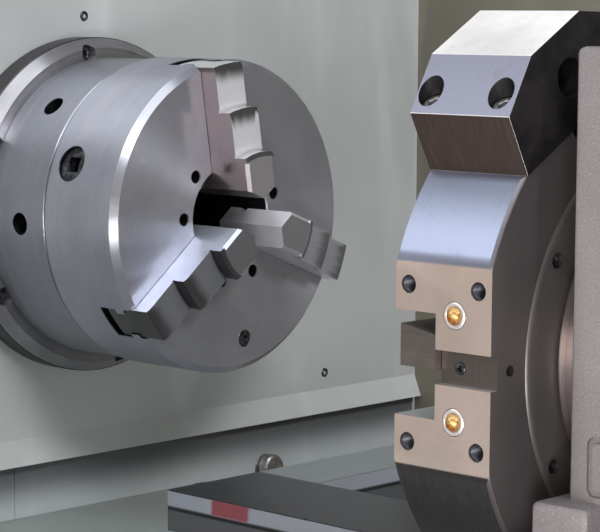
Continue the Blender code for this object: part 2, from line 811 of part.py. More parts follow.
def jaw_section(half, tongue_half, back, front, relief):
    """The cross-section of a jaw, or of its slot with relief outwards, as (across, along) points."""
    half_points = [
        (half, back),
        (half, JAW_TONGUE_BACK + relief),
        (tongue_half, JAW_TONGUE_BACK + relief),
        (tongue_half, JAW_TONGUE_FRONT - relief),
        (half, JAW_TONGUE_FRONT - relief),
        (half, front),
    ]
    return half_points + [(-across, along) for across, along in reversed(half_points)]


def radial_prism(section, inner, outer):
    """A section of (across, along) points pushed outwards along +Y from the spindle's axis."""
    outline = [(along, -across) for across, along in section]
    return prism(outline, "Y", inner, outer)


# The front body: jaw slots, pinion holes, through bore and the drilled holes of its face
FACE_HOLE_CIRCLE = 0.0512
FACE_HOLE_RADIUS = 0.0040
FACE_HOLE_DEPTH = 0.0180
FACE_HOLE_SPREAD = math.radians(20)
FACE_SCREW_INSET = 0.0250
FACE_SCREW_CIRCLE = CHUCK_RADIUS - FACE_SCREW_INSET
FACE_SCREW_RADIUS = 0.0070
FACE_SCREW_DEPTH = 0.0040
FACE_SCREW_TURN = 1
slot_cutters = []
pinion_cutters = []
face_cutters = []
for number in range(JAW_COUNT):
    jaw_angle = FIRST_JAW_ANGLE + number * JAW_SPACING
    pinion_angle = jaw_angle + PINION_ANGLE_STEP
    slot = radial_prism(
        jaw_section(
            JAW_WIDTH / 2 + JAW_GAP,
            JAW_WIDTH / 2 - JAW_TONGUE_DEPTH + JAW_GAP,
            -SLOT_DEPTH,
            CUT_OVERRUN,
            JAW_GAP,
        ),
        0,
        CHUCK_RADIUS + CUT_OVERRUN,
    )
    slot_cutters.append(moved(slot, about_spindle(jaw_angle)))
    hole = rod(
        "Y", SCROLL_CAVITY_RADIUS - CUT_OVERRUN, CHUCK_RADIUS + CUT_OVERRUN, PINION_HOLE_RADIUS, SMALL
    )
    pinion_cutters.append(moved(hole, about_spindle(pinion_angle) @ Matrix.Translation((PINION_X, 0, 0))))
    for side in (-1, 1):
        drilled = rod("X", -FACE_HOLE_DEPTH, CUT_OVERRUN, FACE_HOLE_RADIUS, TINY, (0, FACE_HOLE_CIRCLE, 0))
        face_cutters.append(moved(drilled, about_spindle(pinion_angle + side * FACE_HOLE_SPREAD)))
screw_pocket = rod("X", -FACE_SCREW_DEPTH, CUT_OVERRUN, FACE_SCREW_RADIUS, SMALL, (0, FACE_SCREW_CIRCLE, 0))
screw_angle = FIRST_JAW_ANGLE + PINION_ANGLE_STEP + FACE_SCREW_TURN * JAW_SPACING
face_cutters.append(moved(screw_pocket, about_spindle(screw_angle)))
piece(
    "chuck_body",
    turned(
        [
            (-CHUCK_FRONT_LENGTH, CHUCK_BORE_RADIUS),
            (-CHUCK_FRONT_LENGTH, HUB_RADIUS),
            (cavity_front, HUB_RADIUS),
            (cavity_front, SCROLL_CAVITY_RADIUS),
            (-CHUCK_FRONT_LENGTH, SCROLL_CAVITY_RADIUS),
            (-CHUCK_FRONT_LENGTH, CHUCK_RADIUS),
            (-CHUCK_EDGE_CHAMFER, CHUCK_RADIUS),
            (0, CHUCK_RADIUS - CHUCK_EDGE_CHAMFER),
            (0, CHUCK_BORE_RADIUS),
        ],
        "X",
        FINE,
    ),
    TURNED_STEEL,
    spindle_line,
    cuts=[together(pinion_cutters), together(face_cutters)] + slot_cutters,
)

# The rear body: the closing half behind the scroll, with its boss for the pinions and six screw pockets
POCKET_X = -0.1125
POCKET_RADIUS = 0.0090
POCKET_DEPTH = 0.0260
POCKET_SPREAD = math.radians(23.6)
rear_front = -CHUCK_FRONT_LENGTH - SEAT_GAP
rear_back = -CHUCK_FRONT_LENGTH - CHUCK_REAR_LENGTH
stub_bore = round_hole(PINION_STUB_RADIUS + SEAT_GAP, TINY)
rear_cutters = []
stub_cutters = []
for number in range(JAW_COUNT):
    pinion_angle = FIRST_JAW_ANGLE + PINION_ANGLE_STEP + number * JAW_SPACING
    for side in (-1, 1):
        pocket = rod("Y", CHUCK_RADIUS - POCKET_DEPTH, CHUCK_RADIUS + CUT_OVERRUN, POCKET_RADIUS, SMALL)
        turn = about_spindle(pinion_angle + side * POCKET_SPREAD)
        rear_cutters.append(moved(pocket, turn @ Matrix.Translation((POCKET_X, 0, 0))))
    stub = rod("Y", HUB_RADIUS, BOSS_RADIUS + CUT_OVERRUN, stub_bore, TINY)
    stub_cutters.append(moved(stub, about_spindle(pinion_angle) @ Matrix.Translation((PINION_X, 0, 0))))
piece(
    "chuck_rear_body",
    turned(
        [
            (rear_back, CHUCK_BORE_RADIUS),
            (rear_back, CHUCK_RADIUS - CHUCK_STEP),
            (rear_front - CHUCK_STEP, CHUCK_RADIUS - CHUCK_STEP),
            (rear_front - CHUCK_STEP, CHUCK_RADIUS - CHUCK_STEP * 2),
            (rear_front, CHUCK_RADIUS - CHUCK_STEP * 2),
            (rear_front, BOSS_RADIUS),
            (boss_front, BOSS_RADIUS),
            (boss_front, HUB_RADIUS + SEAT_GAP),
            (rear_front, HUB_RADIUS + SEAT_GAP),
            (rear_front, CHUCK_BORE_RADIUS),
        ],
        "X",
        FINE,
    ),
    TURNED_STEEL,
    spindle_line,
    cuts=[together(rear_cutters), together(stub_cutters)],
)

# The scroll: a plate with a flat spiral rib, which the jaws' teeth follow as it turns, and a crown gear
# on its back for the pinions
SPIRAL_PITCH = 0.0100
SPIRAL_RIB = 0.0040
SPIRAL_START = 0.0500
SPIRAL_MARGIN = 0.0030
SPIRAL_END = SCROLL_RADIUS - SPIRAL_MARGIN
SPIRAL_STEPS_PER_TURN = 24
SPIRAL_ROOT = 0.0010


def spiral_radius(angle):
    """The middle of the rib, at an angle in turns past the spiral's start."""
    return SPIRAL_START + SPIRAL_PITCH * angle


def spiral_rib():
    """A rib of rectangular section swept along the spiral."""
    shape = bmesh.new()
    turns = (SPIRAL_END - SPIRAL_START) / SPIRAL_PITCH
    steps = round(turns * SPIRAL_STEPS_PER_TURN)
    section = (
        (SCROLL_SPIRAL_TOP, -SPIRAL_RIB / 2),
        (SCROLL_SPIRAL_TOP, SPIRAL_RIB / 2),
        (scroll_plate_front - SPIRAL_ROOT, SPIRAL_RIB / 2),
        (scroll_plate_front - SPIRAL_ROOT, -SPIRAL_RIB / 2),
    )
    rings = []
    for step in range(steps + 1):
        past = turns * step / steps
        angle = FIRST_JAW_ANGLE + math.tau * past
        ring = []
        for along, offset in section:
            radius = spiral_radius(past) + offset
            ring.append(shape.verts.new((along, radius * math.cos(angle), radius * math.sin(angle))))
        rings.append(ring)
    for ring, following in zip(rings, rings[1:]):
        for corner in range(len(section)):
            beside = (corner + 1) % len(section)
            shape.faces.new((ring[corner], ring[beside], following[beside], following[corner]))
    shape.faces.new(rings[0])
    shape.faces.new(rings[-1])
    bmesh.ops.recalc_face_normals(shape, faces=shape.faces)
    return shape


crown_spaces = []
for number in range(CROWN_TEETH):
    space = block(
        (scroll_plate_back - CUT_OVERRUN, PINION_GEAR_INNER, -TOOTH_SPACE_HALF),
        (scroll_plate_back + TOOTH_SPACE_DEPTH, SCROLL_RADIUS + CUT_OVERRUN, TOOTH_SPACE_HALF),
    )
    crown_spaces.append(moved(space, about_spindle(math.tau * number / CROWN_TEETH)))
piece(
    "chuck_scroll",
    tube(
        "X",
        scroll_plate_back,
        scroll_plate_front,
        round_hole(HUB_RADIUS + SEAT_GAP, FINE),
        SCROLL_RADIUS,
        FINE,
    ),
    GROUND_STEEL,
    spindle_line,
    adds=[spiral_rib()],
    cuts=[together(crown_spaces)],
)

# The jaws: a wedge-shaped tip, three steps with round risers and a shallow slope before each riser, side
# grooves on the body's tongues and teeth in the scroll
STEP_HEIGHTS = (0.040, 0.028, 0.016)
STEP_RADII = (0.0540, 0.0885)
STEP_SLOPE_LENGTH = 0.0060
STEP_SLOPE_DROP = 0.0012
TOOTH_WIDTH = 0.0040
GROOVE_SHARE = 0.5
TOOTH_HALF_SPAN = 0.0095
TOOTH_HEIGHT = 0.0056
TOOTH_INNER_LIMIT = 0.0590
TOOTH_MARGIN = 0.0070
TOOTH_OUTER_LIMIT = SCROLL_RADIUS - TOOTH_MARGIN
TOOTH_STEPS = 4
TOOTH_ROOT = 0.0010


def jaw_tooth(radius):
    """One tooth: an arc about the spindle's axis, under the jaw's base."""
    half_angle = TOOTH_HALF_SPAN / radius
    outline = []
    for side_radius, steps in ((radius - TOOTH_WIDTH / 2, 1), (radius + TOOTH_WIDTH / 2, -1)):
        for step in range(TOOTH_STEPS + 1)[::steps]:
            angle = half_angle * (2 * step / TOOTH_STEPS - 1)
            outline.append((side_radius * math.cos(angle), side_radius * math.sin(angle)))
    return prism(outline, "X", JAW_BASE - TOOTH_HEIGHT, JAW_BASE + TOOTH_ROOT)


def step_cutter(low, high, riser):
    """What lies outside a riser that drops from high to low, with the slope before its edge."""
    slope = riser - STEP_SLOPE_LENGTH
    profile = [
        (low, riser),
        (high - STEP_SLOPE_DROP, riser),
        (high, slope),
        (STEP_HEIGHTS[0] + CUT_OVERRUN, slope),
        (STEP_HEIGHTS[0] + CUT_OVERRUN, CHUCK_RADIUS + JAW_WIDTH),
        (low, CHUCK_RADIUS + JAW_WIDTH),
    ]
    return turned(profile, "X", FINE)


def tip_cutter():
    """What lies inside the two flats of a jaw's tip."""
    reach = JAW_TIP + JAW_WIDTH / math.tan(JAW_TIP_HALF_ANGLE)
    outline = [(0, -JAW_WIDTH), (reach, -JAW_WIDTH), (JAW_TIP, 0), (reach, JAW_WIDTH), (0, JAW_WIDTH)]
    return prism(outline, "X", -SLOT_DEPTH, STEP_HEIGHTS[0] + CUT_OVERRUN)


for number in range(JAW_COUNT):
    jaw_angle = FIRST_JAW_ANGLE + number * JAW_SPACING
    teeth = []
    groove_radius = SPIRAL_START + SPIRAL_PITCH * (number / JAW_COUNT + GROOVE_SHARE)
    while groove_radius < TOOTH_OUTER_LIMIT:
        if groove_radius > TOOTH_INNER_LIMIT:
            teeth.append(jaw_tooth(groove_radius))
        groove_radius += SPIRAL_PITCH
    lows = (*STEP_HEIGHTS[1:], -SLOT_DEPTH)
    risers = (*STEP_RADII, JAW_OUTER)
    steps = [step_cutter(*sizes) for sizes in zip(lows, STEP_HEIGHTS, risers)]
    jaw = radial_prism(
        jaw_section(JAW_WIDTH / 2, JAW_WIDTH / 2 - JAW_TONGUE_DEPTH, JAW_BASE, STEP_HEIGHTS[0], 0),
        JAW_TIP / 2,
        CHUCK_RADIUS + CUT_OVERRUN,
    )
    piece(
        f"chuck_jaw_{number + 1}",
        jaw,
        TURNED_STEEL,
        spindle_line,
        turn=jaw_angle,
        adds=teeth,
        cuts=[*steps, tip_cutter()],
    )

# The pinions: a square key socket in the rim, a bevel gear behind the scroll and a stub in the boss
for number in range(JAW_COUNT):
    pinion_angle = FIRST_JAW_ANGLE + PINION_ANGLE_STEP + number * JAW_SPACING
    head_outer = CHUCK_RADIUS - PINION_HEAD_RECESS
    cone_share = PINION_GEAR_INNER / PINION_GEAR_OUTER
    profile = [
        (PINION_STUB_INNER, 0),
        (PINION_STUB_INNER, PINION_STUB_RADIUS),
        (PINION_GEAR_INNER, PINION_STUB_RADIUS),
        (PINION_GEAR_INNER, PINION_GEAR_RADIUS * cone_share),
        (PINION_GEAR_OUTER, PINION_GEAR_RADIUS),
        (SCROLL_CAVITY_RADIUS + SEAT_GAP, PINION_GEAR_RADIUS),
        (SCROLL_CAVITY_RADIUS + SEAT_GAP, PINION_HEAD_RADIUS),
        (head_outer, PINION_HEAD_RADIUS),
        (head_outer, 0),
    ]
    socket = block(
        (-KEY_SQUARE / 2, head_outer - KEY_DEPTH, -KEY_SQUARE / 2),
        (KEY_SQUARE / 2, head_outer + CUT_OVERRUN, KEY_SQUARE / 2),
    )
    space_outline = [
        (PINION_GEAR_RADIUS * cone_share - TOOTH_SPACE_DEPTH * cone_share, PINION_GEAR_INNER - CUT_OVERRUN),
        (PINION_GEAR_RADIUS - TOOTH_SPACE_DEPTH, PINION_GEAR_OUTER),
        (PINION_GEAR_RADIUS + CUT_OVERRUN, PINION_GEAR_OUTER),
        (PINION_GEAR_RADIUS + CUT_OVERRUN, PINION_GEAR_INNER - CUT_OVERRUN),
    ]
    spaces = []
    for tooth in range(PINION_TEETH):
        space = prism(space_outline, "Z", -TOOTH_SPACE_HALF, TOOTH_SPACE_HALF)
        spaces.append(moved(space, Matrix.Rotation(math.tau * tooth / PINION_TEETH, 4, "Y")))
    piece(
        f"chuck_pinion_{number + 1}",
        turned(profile, "Y", SMALL),
        DARK_STEEL,
        spindle_line,
        place=(PINION_X, 0, 0),
        turn=pinion_angle,
        cuts=[socket, together(spaces)],
    )

# The saddle: it straddles both ways, holds them from below and carries the cross slide's dovetail
SADDLE_FRONT = -0.400
SADDLE_REAR = 0.230
KEEPER_DEPTH = 0.016
KEEPER_LIP = 0.010
SLIDING_GAP = 0.0005
DOVETAIL_HEIGHT = 0.016
DOVETAIL_HALF = 0.110
DOVETAIL_LEAN = 0.009
CHANNEL_HALF = 0.018
CHANNEL_DEPTH = 0.022
saddle_right = SADDLE_LEFT + SADDLE_LENGTH
slide_middle = SADDLE_LEFT + SADDLE_LENGTH / 2
saddle_line = carrier("saddle_line", (0, 0, 0))
saddle_bottom = WAY_HEIGHT + SEAT_GAP
dovetail_base = SADDLE_TOP - DOVETAIL_HEIGHT
saddle_section = [(SADDLE_FRONT, dovetail_base), (SADDLE_FRONT, saddle_bottom)]
for side in (-1, 1):
    outside = side * (BED_HALF_WIDTH + SLIDING_GAP)
    flank = side * (BED_HALF_WIDTH + KEEPER_DEPTH)
    lip = side * (BED_HALF_WIDTH - KEEPER_LIP)
    keeper_top = WAY_HEIGHT - WAY_DEPTH - SLIDING_GAP
    keeper = [
        (flank, saddle_bottom),
        (flank, keeper_top - KEEPER_DEPTH),
        (lip, keeper_top - KEEPER_DEPTH),
        (lip, keeper_top),
        (outside, keeper_top),
        (outside, saddle_bottom),
    ]
    saddle_section += keeper if side < 0 else keeper[::-1]
saddle_section += [(SADDLE_REAR, saddle_bottom), (SADDLE_REAR, dovetail_base)]


def dovetail(half, height_low, height_high, start, end):
    """A dovetail along Y, wider at its top."""
    outline = [
        (slide_middle - half + DOVETAIL_LEAN, height_low),
        (slide_middle + half - DOVETAIL_LEAN, height_low),
        (slide_middle + half, height_high),
        (slide_middle - half, height_high),
    ]
    return prism(outline, "Y", start, end)


def screw_channel(low, high, start, end):
    """The groove for the cross slide's screw."""
    return block((slide_middle - CHANNEL_HALF, start, low), (slide_middle + CHANNEL_HALF, end, high))


piece(
    "saddle",
    prism(saddle_section, "X", SADDLE_LEFT, saddle_right),
    CAST_GREY,
    saddle_line,
    adds=[dovetail(DOVETAIL_HALF, dovetail_base - CUT_OVERRUN, SADDLE_TOP, SADDLE_FRONT, SADDLE_REAR)],
    cuts=[
        screw_channel(
            SADDLE_TOP - CHANNEL_DEPTH,
            SADDLE_TOP + CUT_OVERRUN,
            SADDLE_FRONT - CUT_OVERRUN,
            SADDLE_REAR + CUT_OVERRUN,
        )
    ],
)

# The apron: the plate under the saddle's front that holds the nut of the long screw
Z_SCREW_OFFSET = 0.055
Z_SCREW_Y = -BED_HALF_WIDTH - Z_SCREW_OFFSET
Z_SCREW_DROP = 0.270
Z_SCREW_RADIUS = 0.016
Z_SCREW_LEFT = 0.125
Z_SCREW_RIGHT = 1.560
APRON_REACH = 0.095
APRON_FRONT = -BED_HALF_WIDTH - APRON_REACH
APRON_HEIGHT = 0.110
APRON_INSET = 0.060
NUT_CLEARANCE = 0.0006
z_screw_height = SPINDLE_HEIGHT - Z_SCREW_DROP
z_screw_line = carrier("z_screw_line", (0, Z_SCREW_Y, z_screw_height))
apron_rear = -BED_HALF_WIDTH - KEEPER_DEPTH - SEAT_GAP
apron_top = saddle_bottom - SEAT_GAP
piece(
    "apron",
    block(
        (SADDLE_LEFT + APRON_INSET, APRON_FRONT, apron_top - APRON_HEIGHT),
        (saddle_right - APRON_INSET, apron_rear, apron_top),
    ),
    PALE_PAINT,
    saddle_line,
    cuts=[
        rod(
            "X",
            SADDLE_LEFT,
            saddle_right,
            round_hole(Z_SCREW_RADIUS + NUT_CLEARANCE, SMALL),
            SMALL,
            (0, Z_SCREW_Y, z_screw_height),
        )
    ],
)

# The long screw along the bed, in a bearing block at each end, with its servo motor on the right
SCREW_BLOCK_LENGTH = 0.050
SCREW_BLOCK_HALF = 0.038
SERVO_HALF = 0.055
SERVO_LENGTH = 0.150
SERVO_EDGE = 0.006
SERVO_SHAFT_REACH = 0.030
block_rear = -bed_inner - SEAT_GAP
z_screw_bore = round_hole(Z_SCREW_RADIUS + SEAT_GAP, SMALL)
for block_name, block_left in (
    ("left_screw_bearing", Z_SCREW_LEFT + SEAT_GAP),
    ("right_screw_bearing", Z_SCREW_RIGHT - SCREW_BLOCK_LENGTH - SEAT_GAP),
):
    piece(
        block_name,
        block(
            (block_left, Z_SCREW_Y - SCREW_BLOCK_HALF, z_screw_height - SCREW_BLOCK_HALF),
            (block_left + SCREW_BLOCK_LENGTH, block_rear, z_screw_height + SCREW_BLOCK_HALF),
        ),
        CAST_GREY,
        cuts=[
            rod(
                "X",
                block_left - CUT_OVERRUN,
                block_left + SCREW_BLOCK_LENGTH + CUT_OVERRUN,
                z_screw_bore,
                SMALL,
                (0, Z_SCREW_Y, z_screw_height),
            )
        ],
    )
piece(
    "z_screw",
    rod("X", Z_SCREW_LEFT, Z_SCREW_RIGHT + SERVO_SHAFT_REACH, Z_SCREW_RADIUS, SMALL),
    GROUND_STEEL,
    z_screw_line,
)
servo_left = Z_SCREW_RIGHT + SEAT_GAP
piece(
    "z_servo_motor",
    eased_block(
        (servo_left, -SERVO_HALF, -SERVO_HALF),
        (servo_left + SERVO_LENGTH, SERVO_HALF, SERVO_HALF),
        SERVO_EDGE,
    ),
    BLACK_PLASTIC,
    z_screw_line,
    cuts=[
        rod("X", servo_left - CUT_OVERRUN, servo_left + SERVO_SHAFT_REACH + SEAT_GAP, z_screw_bore, SMALL)
    ],
)

# The cross slide: a plate on the saddle's dovetail, with the nut of its screw in the channel
SLIDE_FRONT = -0.500
SLIDE_REAR = 0.060
SLIDE_EDGE = 0.003
X_SCREW_RADIUS = 0.009
NUT_FRONT = -0.120
NUT_LENGTH = 0.050
slide_line = carrier("slide_line", (0, 0, 0))
slide_line.parent = saddle_line
x_screw_height = SADDLE_TOP - X_SCREW_RADIUS - SLIDING_GAP * 2
x_screw_line = carrier("x_screw_line", (slide_middle, 0, x_screw_height))
x_screw_line.parent = saddle_line
slide_skirt = dovetail_base + SLIDING_GAP
nut_bottom = SADDLE_TOP - CHANNEL_DEPTH + SLIDING_GAP
slide_nut = block(
    (slide_middle - CHANNEL_HALF + SLIDING_GAP, NUT_FRONT, nut_bottom),
    (slide_middle + CHANNEL_HALF - SLIDING_GAP, NUT_FRONT + NUT_LENGTH, SLIDE_BOTTOM + CUT_OVERRUN),
)
nut_bore = rod(
    "Y",
    NUT_FRONT - CUT_OVERRUN,
    NUT_FRONT + NUT_LENGTH + CUT_OVERRUN,
    round_hole(X_SCREW_RADIUS + NUT_CLEARANCE, SMALL),
    SMALL,
    (slide_middle, 0, x_screw_height),
)
cross_slide = piece(
    "cross_slide",
    eased_block((SADDLE_LEFT, SLIDE_FRONT, slide_skirt), (saddle_right, SLIDE_REAR, SLIDE_TOP), SLIDE_EDGE),
    CAST_GREY,
    slide_line,
    cuts=[
        dovetail(
            DOVETAIL_HALF + SLIDING_GAP * 2,
            slide_skirt - CUT_OVERRUN,
            SADDLE_TOP + SLIDING_GAP,
            SLIDE_FRONT - CUT_OVERRUN,
            SLIDE_REAR + CUT_OVERRUN,
        ),
    ],
)
nut = piece("cross_slide_nut", slide_nut, BRASS, slide_line, cuts=[nut_bore])
nut.hide_render = True
nut.display_type = "WIRE"
nut_join = cross_slide.modifiers.new("nut", "BOOLEAN")
nut_join.operation = "UNION"
nut_join.object = nut
X_SERVO_HALF = 0.045
X_SERVO_LENGTH = 0.120
x_servo_front = SADDLE_REAR + SEAT_GAP
piece(
    "x_screw",
    rod("Y", SADDLE_FRONT + CUT_OVERRUN, SADDLE_REAR + SERVO_SHAFT_REACH, X_SCREW_RADIUS, SMALL),
    GROUND_STEEL,
    x_screw_line,
)
piece(
    "x_servo_motor",
    eased_block(
        (-X_SERVO_HALF, x_servo_front, -X_SERVO_HALF),
        (X_SERVO_HALF, x_servo_front + X_SERVO_LENGTH, X_SERVO_HALF),
        SERVO_EDGE,
    ),
    BLACK_PLASTIC,
    x_screw_line,
    cuts=[
        rod(
            "Y",
            x_servo_front - CUT_OVERRUN,
            x_servo_front + SERVO_SHAFT_REACH + SEAT_GAP,
            round_hole(X_SCREW_RADIUS + SEAT_GAP, SMALL),
            SMALL,
        )
    ],
)

# The turret housing: a box casting on a foot with four lugs, a seamed cover and the disc's bearing ring
HOUSING_LEFT = 0.6705
HOUSING_LENGTH = 0.260
HOUSING_HALF = 0.1000
HOUSING_RISE = 0.1460
HOUSING_CHAMFER = 0.005
LUG_TOP_DROP = 0.0575
LUG_LEFT = 0.6605
LUG_LENGTH = 0.031
LUG_REACH = 0.014
LUG_EDGE = 0.002
LUG_ROOT = 0.030
GROOVE_WIDTH = 0.003
GROOVE_DEPTH = 0.002
GROOVE_INSET = 0.0105
GROOVE_HEIGHT = 0.0275
GROOVE_TOP_DROP = 0.0270
GROOVE_RADIUS = 0.0040
GROOVE_STEPS = 4
HUB_OUTER = 0.0830
TURRET_SHAFT_RADIUS = 0.032
TURRET_SHAFT_END = 0.880
housing_right = HOUSING_LEFT + HOUSING_LENGTH
turret_line = carrier("turret_line", (0, TURRET_Y, SPINDLE_HEIGHT))
turret_line.parent = slide_line
turret_bore = round_hole(TURRET_SHAFT_RADIUS + SEAT_GAP, ROUND)
housing_base = HOUSING_BOTTOM - SPINDLE_HEIGHT
lugs = []
for left in (LUG_LEFT, housing_right - LUG_LENGTH):
    for front, rear in (
        (-HOUSING_HALF - LUG_REACH, LUG_ROOT - HOUSING_HALF),
        (HOUSING_HALF - LUG_ROOT, HOUSING_HALF + LUG_REACH),
    ):
        lugs.append(
            eased_block((left, front, housing_base), (left + LUG_LENGTH, rear, -LUG_TOP_DROP), LUG_EDGE)
        )
groove_low = (HOUSING_LEFT + GROOVE_INSET, -GROOVE_TOP_DROP - GROOVE_HEIGHT)
groove_high = (housing_right - GROOVE_INSET * 2, -GROOVE_TOP_DROP)
groove_back = -HOUSING_HALF + GROOVE_DEPTH
groove = prism(
    rounded_outline(groove_low, groove_high, GROOVE_RADIUS, GROOVE_STEPS),
    "Y",
    -HOUSING_HALF - CUT_OVERRUN,
    groove_back,
)
groove_island = prism(
    rounded_outline(
        (groove_low[0] + GROOVE_WIDTH, groove_low[1] + GROOVE_WIDTH),
        (groove_high[0] - GROOVE_WIDTH, groove_high[1] - GROOVE_WIDTH),
        GROOVE_RADIUS - GROOVE_WIDTH / 2,
        GROOVE_STEPS,
    ),
    "Y",
    -HOUSING_HALF - CUT_OVERRUN * 2,
    groove_back + CUT_OVERRUN,
)
groove_ring = piece("housing_groove_ring", groove, CAST_GREY, turret_line, cuts=[groove_island])
groove_ring.hide_render = True
groove_ring.display_type = "WIRE"
housing = piece(
    "turret_housing",
    eased_block(
        (HOUSING_LEFT, -HOUSING_HALF, housing_base),
        (housing_right, HOUSING_HALF, HOUSING_RISE),
        HOUSING_CHAMFER,
    ),
    CAST_GREY,
    turret_line,
    adds=[*lugs],
    cuts=[
        rod("X", HOUSING_LEFT - CUT_OVERRUN, TURRET_SHAFT_END + SEAT_GAP, turret_bore, ROUND),
    ],
)
groove_cut = housing.modifiers.new("groove", "BOOLEAN")
groove_cut.operation = "DIFFERENCE"
groove_cut.object = groove_ring
ring_left = TURRET_FRONT + TURRET_DEPTH + SEAT_GAP
piece(
    "turret_bearing_ring",
    tube("X", ring_left, HOUSING_LEFT - SEAT_GAP, turret_bore, HUB_OUTER, ROUND * 2),
    TURNED_STEEL,
    turret_line,
)
TURRET_MOTOR_RADIUS = 0.060
TURRET_MOTOR_LENGTH = 0.130
motor_left = housing_right + SEAT_GAP
piece(
    "turret_motor",
    rod("X", motor_left, motor_left + TURRET_MOTOR_LENGTH, TURRET_MOTOR_RADIUS, ROUND),
    DARK_PAINT,
    turret_line,
)

# The disc: six flats on a round disc, each with a tool slot, a keyway and tapped holes
SLOT_LENGTH = 0.0242
SLOT_HALF = 0.0245
SLOT_RADIAL_DEPTH = 0.060
KEYWAY_HALF = 0.0080
KEYWAY_DEPTH = 0.0047
SET_SCREW_X = 0.0353
SET_SCREW_RADIUS = 0.0030
SET_SCREW_DEPTH = 0.0040
TAPPED_NEAR = 0.0078
TAPPED_FAR = 0.0488
TAPPED_OFFSET = 0.0366
TAPPED_RADIUS = 0.0042
TAPPED_DEPTH = 0.0180
DISC_STEP = 0.0015
DISC_STEP_RADIUS = 0.1030
DISC_RIM_CHAMFER = 0.0015
SIDE_SCREW_CIRCLE = 0.0957
SIDE_SCREW_RADIUS = 0.0035
SIDE_SCREW_DEPTH = 0.0060
SIDE_HOLE_CIRCLE = 0.1145
SIDE_HOLE_RADIUS = 0.0027
FRONT_CAP_RADIUS = 0.052
FRONT_CAP_RISE = 0.012
HOLDER_STATION = 1


def station_turn(number):
    """The turn that brings a shape modelled at +Y onto a station. Station 0 faces the operator."""
    return about_spindle(math.pi - number * STATION_ANGLE)


flat_cutters = []
slot_shapes = []
keyway_shapes = []
hole_shapes = []
for number in range(STATION_COUNT):
    turn = station_turn(number)
    flat_cutters.append(
        moved(
            block(
                (-CUT_OVERRUN, STATION_APOTHEM, -STATION_HALF_FLAT - KEYWAY_HALF),
                (TURRET_DEPTH + CUT_OVERRUN, TURRET_RADIUS + CUT_OVERRUN, STATION_HALF_FLAT + KEYWAY_HALF),
            ),
            turn,
        )
    )
    slot_shapes.append(
        moved(
            block(
                (-CUT_OVERRUN, STATION_APOTHEM - SLOT_RADIAL_DEPTH, -SLOT_HALF),
                (SLOT_LENGTH, TURRET_RADIUS, SLOT_HALF),
            ),
            turn,
        )
    )
    keyway_shapes.append(
        moved(
            block(
                (SLOT_LENGTH - CUT_OVERRUN, STATION_APOTHEM - KEYWAY_DEPTH, -KEYWAY_HALF),
                (TURRET_DEPTH + CUT_OVERRUN, TURRET_RADIUS, KEYWAY_HALF),
            ),
            turn,
        )
    )
    keyway_floor = STATION_APOTHEM - KEYWAY_DEPTH
    set_screw = rod(
        "Y", keyway_floor - SET_SCREW_DEPTH, TURRET_RADIUS, SET_SCREW_RADIUS, FEWEST, (SET_SCREW_X, 0, 0)
    )
    hole_shapes.append(moved(set_screw, turn))
    for side in (-1, 1):
        for near in (TAPPED_NEAR, TAPPED_FAR):
            tapped = rod(
                "Y",
                STATION_APOTHEM - TAPPED_DEPTH,
                TURRET_RADIUS,
                TAPPED_RADIUS,
                FEWEST,
                (near, 0, side * TAPPED_OFFSET),
            )
            hole_shapes.append(moved(tapped, turn))
    side_floor = TURRET_DEPTH - SIDE_SCREW_DEPTH
    side_open = TURRET_DEPTH + CUT_OVERRUN
    side_screw = rod("X", side_floor, side_open, SIDE_SCREW_RADIUS, FEWEST, (0, SIDE_SCREW_CIRCLE, 0))
    hole_shapes.append(moved(side_screw, about_spindle(STATION_ANGLE / 2) @ turn))
    side_hole = rod("X", side_floor, side_open, SIDE_HOLE_RADIUS, FEWEST, (0, SIDE_HOLE_CIRCLE, 0))
    hole_shapes.append(moved(side_hole, turn))
disc_line = carrier("disc_line", (TURRET_FRONT, 0, 0))
disc_line.parent = turret_line
piece(
    "turret_disc",
    turned(
        [
            (-FRONT_CAP_RISE, 0),
            (-FRONT_CAP_RISE, FRONT_CAP_RADIUS),
            (0, FRONT_CAP_RADIUS),
            (0, TURRET_RADIUS - DISC_RIM_CHAMFER),
            (DISC_RIM_CHAMFER, TURRET_RADIUS),
            (TURRET_DEPTH - DISC_STEP - DISC_RIM_CHAMFER, TURRET_RADIUS),
            (TURRET_DEPTH - DISC_STEP, TURRET_RADIUS - DISC_RIM_CHAMFER),
            (TURRET_DEPTH - DISC_STEP, DISC_STEP_RADIUS),
            (TURRET_DEPTH, DISC_STEP_RADIUS - DISC_STEP),
            (TURRET_DEPTH, TURRET_SHAFT_RADIUS),
            (TURRET_SHAFT_END - TURRET_FRONT, TURRET_SHAFT_RADIUS),
            (TURRET_SHAFT_END - TURRET_FRONT, 0),
        ],
        "X",
        FINE,
    ),
    DARK_STEEL,
    disc_line,
    cuts=[
        together(flat_cutters),
        together(slot_shapes),
        together(keyway_shapes),
        together(hole_shapes),
    ],
)

